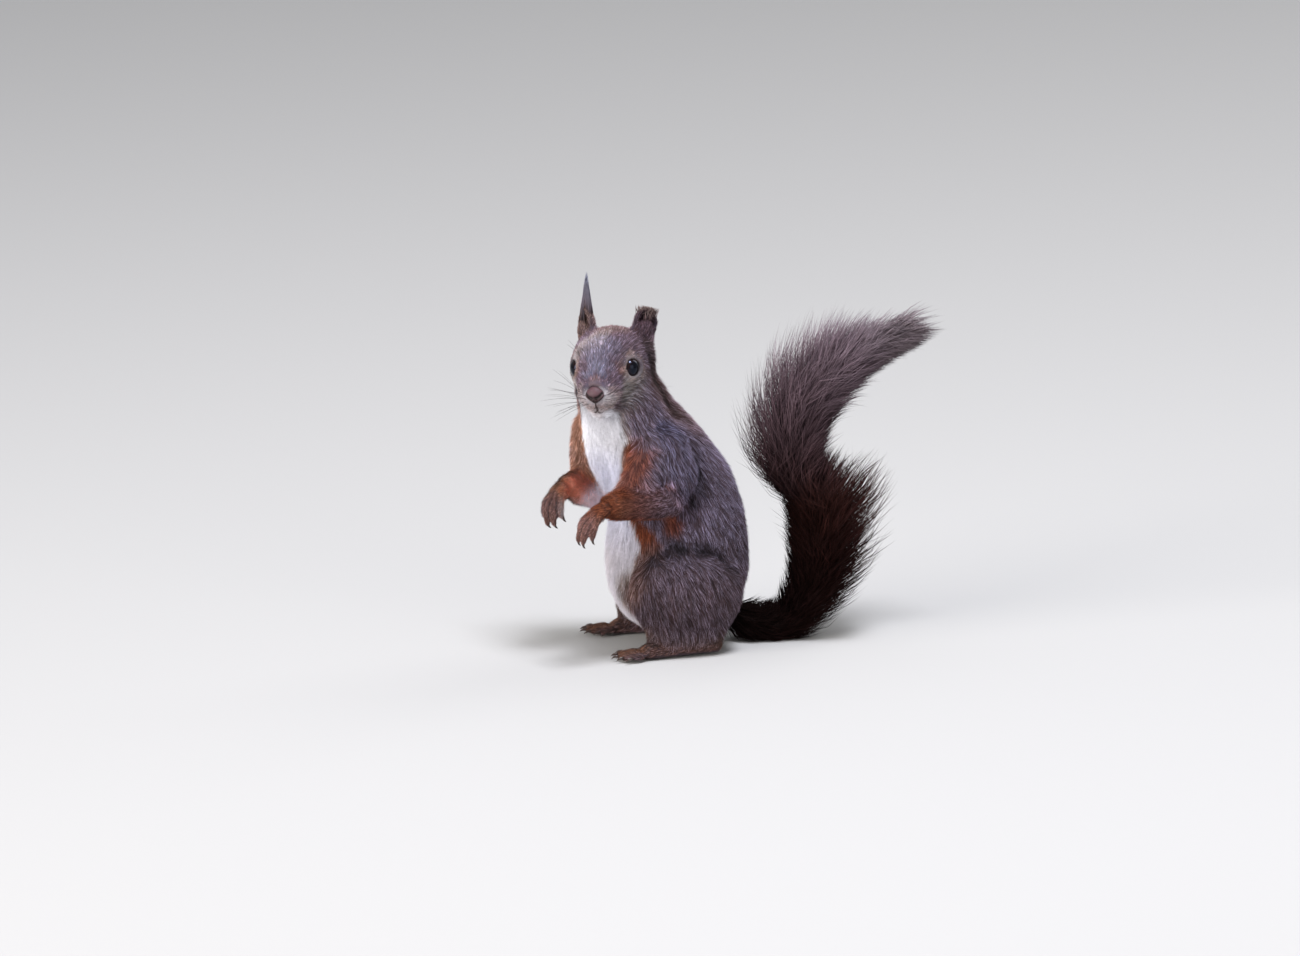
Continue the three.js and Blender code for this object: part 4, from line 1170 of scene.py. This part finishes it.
# the ears' tufts: a long pencil on the right, a short fringe round the left one's rim
earTuft = {
    left: dict(hairs=260, low=0.6, length=2.4, spread=4.2, colours=("#2a1c20", "#4d3c3d", "#7a6863")),
    right: dict(hairs=260, low=0.35, length=15.5, spread=0.9, colours=("#3b2b2a", "#544c55", "#6e7080")),
}
for side in bothSides:
    look = earTuft[side]
    roll = np.random.default_rng(500 + side)
    count = look["hairs"]
    base, rise, front, across = earFrame(side)
    high = ear["cup"][side] * mixed(look["low"], 1, roll.random(count) ** 0.6)
    turn = roll.random(count) * 2 * math.pi
    around = np.cos(turn)[:, None] * across * 5 + np.sin(turn)[:, None] * front * 3
    root, up = onSkin(base + rise * high[:, None] + around)
    top = ear["cup"][side] + look["length"] * (0.2 + 0.8 * roll.random(count) ** 0.8)
    tip = base + rise * top[:, None] + roll.normal(0, look["spread"] * 0.5, (count, 1)) * across
    tip = tip + across * 0.35 * dot(root - base, across)[:, None] * (side == left)
    tip = tip + roll.normal(0, look["spread"] * 0.3, (count, 1)) * front
    straight = mixed(root, tip, 0.5) + (root - tip - rise * dot(root - tip, rise)[:, None]) * 0.05
    path = np.stack([root - up * 0.2, mixed(root, straight, 0.6), mixed(straight, tip, 0.5), tip], axis=1)
    wide = (0.16 + 0.08 * roll.random(count))[:, None] * at(1, 0.9, 0.7, 0)
    shade = np.exp(roll.normal(0, 0.35, count))[:, None]
    lowTone, midTone, tipTone = (linear(colour) for colour in look["colours"])
    tones = (lowTone, midTone, mixed(midTone, tipTone, 0.5), tipTone)
    tones = np.stack([tone * shade for tone in tones], axis=1)
    place = np.stack([turn / (2 * math.pi), high / ear["cup"][side]], axis=1)
    up = np.repeat(up[:, None], 3, axis=1)
    tuftPiece("earTuft_" + sideName[side], path, wide, up, tones, place, coatFur)
print("ears are tufted")


def tinted(name, **surface):
    # a surface whose colour is painted on its vertices
    made, tree, shader = newMaterial(name, **surface)
    tint = addNode(tree, "ShaderNodeAttribute", attribute_name="coatColour")
    tree.links.new(tint.outputs["Color"], shader.inputs["Base Color"])
    return made, tree, shader


def ringed(piece, spot, outward, low, high, inner, outer):
    # one colour in the middle, another from some degrees off it
    facing = dot(unit(vertexTable(piece.data)[0] - spot), outward)
    share = smooth(np.degrees(np.arccos(np.clip(facing, -1, 1))), low, high)[:, None]
    paint(piece.data, mixed(linear(inner), linear(outer), share))


# Eyes: near-black wet cornea, so they mirror the lamps as sharp lights. It bends light a little
# less than a real one, so a pale room leaves it black.
# its specular tint paints a sky-blue colour into the reflections of the lamps
cornea, *_ = tinted("wet cornea", Roughness=0.02, IOR=1.36, Specular_Tint=rgba("#c4d4ff"))
# bare skin: moist and finely pebbled, with pebbles about 0.35 mm across
bareSkin, tree, shader = tinted("bare moist skin", Roughness=0.55, IOR=1.4)
spot = addNode(tree, "ShaderNodeTexCoord").outputs["Object"]
fine = {"Vector": spot, "Scale": 1000 / 0.35, "Smoothness": 0.6}
pebble = addNode(tree, "ShaderNodeTexVoronoi", fine, feature="SMOOTH_F1")
raised = {"Height": pebble.outputs["Distance"], "Strength": 0.55, "Distance": 0.00012}
relief = addNode(tree, "ShaderNodeBump", raised, invert=True)
tree.links.new(relief.outputs["Normal"], shader.inputs["Normal"])

# the lids are dark at the edge and paler where the first short hair grows
eyeLook = dict(
    lean=16, pupil="#040304", iris="#1c0f0a", irisFrom=30, irisTo=46, lidAngle=62, lidTube=0.72,
    lidOff=0.12, tall=1.05, wide=0.95, rim="#1d1413", brow="#8d7a74", rimFrom=58, rimTo=66,
)
for side in bothSides:
    spot = eyes[side]
    outward = unit(at(side * 0.87, -0.5, 0.08))
    upper = unit(at(side * math.sin(math.radians(eyeLook["lean"])) * 0.4, 0.25, 1))
    upper = unit(upper - outward * dot(upper, outward))
    outward, upper = head["turn"] @ outward, head["turn"] @ upper
    pose = Matrix(np.stack([np.cross(outward, upper), upper, outward], axis=1).tolist()).to_4x4()
    pose = Matrix.Translation(toFrame(spot)) @ pose
    bm = bmesh.new()
    size = head["eyeRadius"] / 1000
    bmesh.ops.create_uvsphere(bm, u_segments=48, v_segments=32, radius=size, matrix=pose)
    ball = fromBmesh("eyeball_" + sideName[side], bm)
    shades = (eyeLook["pupil"], eyeLook["iris"])
    ringed(ball, spot, outward, eyeLook["irisFrom"], eyeLook["irisTo"], *shades)
    finished(ball, cornea)
    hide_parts("eye_" + sideName[side])
    # a lid is a ring turned round the eye, then drawn taller than wide
    bm = bmesh.new()
    lidAngle = math.radians(eyeLook["lidAngle"])
    far = head["eyeRadius"] + eyeLook["lidOff"]
    start = Matrix.Translation((0, far * math.sin(lidAngle), far * math.cos(lidAngle)))
    start = start @ Matrix.Rotation(math.pi / 2, 4, "Y")
    made = bmesh.ops.create_circle(bm, segments=10, radius=eyeLook["lidTube"], matrix=start)
    edges = list({e for v in made["verts"] for e in v.link_edges})
    bmesh.ops.spin(
        bm, geom=made["verts"] + edges, cent=(0, 0, 0), axis=(0, 0, 1), angle=2 * math.pi, steps=56,
        use_merge=True, use_duplicate=False,
    )
    for v in bm.verts:
        away = v.co.length
        v.co = v.co * Vector((eyeLook["wide"], eyeLook["tall"], 1))
        v.co = v.co.normalized() * away
    bmesh.ops.transform(bm, matrix=pose @ Matrix.Scale(0.001, 4), verts=bm.verts)
    lid = fromBmesh("lid_" + sideName[side], bm)
    ringed(lid, spot, outward, eyeLook["rimFrom"], eyeLook["rimTo"], eyeLook["rim"], eyeLook["brow"])
    finished(lid, bareSkin)
print("eyes are in their lids")

# Nose: a small leathery pad, notched below, with a comma-shaped nostril at each side.
noseLook = dict(
    wide=4.4,
    deep=3.0,
    high=3.9,
    centre=(0, -28.6, -6.0),
    slit=(1.1, 2.3),  # where a nostril starts beside the middle, and how far out it runs
    slitRise=(-0.9, 1.7),  # its height there, and how much it rises outwards
    slitWide=(0.3, 1.15),
    pit=1.1,
    cleft=0.5,
    cleftWide=(0.1, 0.5),
    # the tone painted as shade in the nostrils and the notch, then the pad's painted shade below and
    # painted light on top
    holeShade="#1a0f10",
    low="#241314",
    top="#4f363c",
)
slitFrom, slitLong = noseLook["slit"]
slitLow, slitRise = noseLook["slitRise"]
bm = bmesh.new()
bmesh.ops.create_uvsphere(bm, u_segments=64, v_segments=48, radius=1)
hollowShade = []
for v in bm.verts:
    x, y, z = v.co
    narrow = 1 - 0.45 * smooth(-z, 0.1, 1) - 0.15 * smooth(z, 0.1, 1)
    x, y, z = x * noseLook["wide"] * narrow, y * noseLook["deep"], z * noseLook["high"]
    far = np.clip((abs(x) - slitFrom) / slitLong, 0, 1)
    near = math.hypot(abs(x) - slitFrom - slitLong * far, z - (slitLow + slitRise * far * far))
    pit = fade(near, *noseLook["slitWide"]) * (y < 0)
    cleft = fade(abs(x), *noseLook["cleftWide"]) * smooth(-z, -0.2, 1.2) * (y < 0)
    v.co = (x, y + noseLook["pit"] * pit + noseLook["cleft"] * cleft, z)
    hollowShade.append([max(pit, cleft * 0.6)])
turn = Matrix(head["turn"].tolist()).to_4x4() @ Matrix.Scale(0.001, 4)
turn = Matrix.Translation(toFrame(inHead(noseLook["centre"]))) @ turn
bmesh.ops.transform(bm, matrix=turn, verts=bm.verts)
nose = fromBmesh("nosePad", bm)
spots = vertexTable(nose.data)[0]
# painted light and shade: the pad is lighter on top and darker below, and painted shade fills the
# nostrils and the notch
height = smooth(toHead(spots)[:, 2], -9, -4)[:, None]
base = mixed(linear(noseLook["low"]), linear(noseLook["top"]), height)
base = base * (0.85 + 0.3 * softNoise(spots, 1.2, 61))[:, None]
paint(nose.data, mixed(base, linear(noseLook["holeShade"]), np.array(hollowShade)))
finished(nose, bareSkin)
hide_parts("nose")

# the mouth: a line down from the nose, then the edge of the lips back to each side
mouthLook = dict(
    cleft=[(0, -31, -8.2), (0, -31, -10.4), (0, -30.8, -12.6), (0, -30.4, -14.3)],
    cleftRadii=(0.22, 0.3, 0.3, 0.45),
    lip=[(0, -30.4, -14.3), (1.2, -30.2, -15), (2.4, -29, -15.3), (3.4, -27.6, -15.2)],
    lipRadii=(0.5, 0.45, 0.28, 0.08),
    proud=0.12,
    colour="#2a1a1a",
)
bm = bmesh.new()
lines = [(mouthLook["cleft"], mouthLook["cleftRadii"])]
lines += [(np.array(mouthLook["lip"]) * at(side, 1, 1), mouthLook["lipRadii"]) for side in bothSides]
for line, radii in lines:
    points, up = onSkin(curved(inHead(line), 12)[0])
    sizes = tapered(radii, 12)
    sizes = np.stack([sizes, sizes * 0.6], axis=1)
    tube(bm, points + up * mouthLook["proud"], sizes, sides=8, flat=lookUp)
mouth = fromBmesh("lips", bm)
paint(mouth.data, np.tile(linear(mouthLook["colour"]), (len(mouth.data.vertices), 1)))
finished(mouth, bareSkin)

# claws: curved dark horn, smooth and a little glossy, with streaks 1.2 mm long
clawLook = dict(long=0.66, shares=(0, 0.3, 0.7, 1), radii=(0.78, 0.66, 0.4, 0.06), flat=0.8)
horn, tree, shader = newMaterial("claw horn", Roughness=0.32, IOR=1.55)
spot = addNode(tree, "ShaderNodeTexCoord").outputs["Object"]
streak = addNode(tree, "ShaderNodeTexNoise", {"Vector": spot, "Scale": 1000 / 1.2, "Detail": 2})
shade = addNode(tree, "ShaderNodeValToRGB", {"Fac": streak.outputs["Fac"]})
shade.color_ramp.elements[0].color = rgba("#1b1210")
shade.color_ramp.elements[1].color = rgba("#4a3830")
tree.links.new(shade.outputs["Color"], shader.inputs["Base Color"])
bm = bmesh.new()
for digit in [digit for side in bothSides for digit in handDigits(side) + footDigits(side)]:
    root = digit["claw"][0]
    points, _ = curved(root + (np.array(digit["claw"]) - root) * clawLook["long"], 7)
    sizes = tapered(clawLook["radii"], 7, clawLook["shares"])
    tube(bm, points, np.stack([sizes * clawLook["flat"], sizes], axis=1), sides=10, flat=digit["side"])
claws = fromBmesh("claws", bm)
finished(claws, horn)
print("claws", len(claws.data.polygons), "faces")

# whiskers: stiff dark bristles in rows on the whisker pads, and a few over the eyes
whiskerLook = dict(
    rows=4,
    columns=4,
    first=(4.2, -28.2, -6.4),  # the foremost one of the top row, then the steps from it
    column=(0.9, 2.0, 0),
    row=(0, 0, -1.5),
    length=19,
    longer=3.0,
    vary=4,
    spread=0.12,
    brow=(8.6, -14.5, 7.2),
    browStep=(0, 1.2, 0),
    browLength=(12, 14),
    sag=2.6,
    radius=0.095,
    colour="#2a2224",
)
roll = np.random.default_rng(700)
roots, tips = [], []
for side in bothSides:
    mirror = at(side, 1, 1)
    for row in range(whiskerLook["rows"]):
        for column in range(whiskerLook["columns"]):
            spread = roll.normal(0, whiskerLook["spread"], 3)
            root = at(*whiskerLook["first"]) + column * at(*whiskerLook["column"])
            roots.append(inHead((root + row * at(*whiskerLook["row"])) * mirror))
            way = unit(at(1, 0.25 + 0.22 * column, 0.32 - 0.24 * row) * mirror + spread)
            long = whiskerLook["length"] + whiskerLook["longer"] * column
            tips.append(roots[-1] + head["turn"] @ way * (long + roll.random() * whiskerLook["vary"]))
    for number, long in enumerate(whiskerLook["browLength"]):
        root = at(*whiskerLook["brow"]) + number * at(*whiskerLook["browStep"])
        roots.append(inHead(root * mirror))
        way = unit(at(0.75, 0.25 + 0.3 * number, 0.8) * mirror)
        tips.append(roots[-1] + head["turn"] @ way * long)
tips = np.array(tips)
roots, up = onSkin(np.array(roots))
steps = np.linspace(0, 1, 7)
path = [mixed(roots, tips, t) + at(0, 0, -1) * whiskerLook["sag"] * t * t for t in steps]
wide = whiskerLook["radius"] * (1 - 0.75 * steps[None]) * np.ones((len(roots), 1))
tones = np.tile(linear(whiskerLook["colour"]), (len(roots), len(steps), 1))
place = np.stack([np.linspace(0.05, 0.95, len(roots)), np.full(len(roots), 0.5)], axis=1)
up = np.repeat(up[:, None], len(steps) - 1, axis=1)
tuftPiece("whiskers", np.stack(path, axis=1), wide, up, tones, place, coatFur)
print("whiskers", len(roots))

low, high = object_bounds()
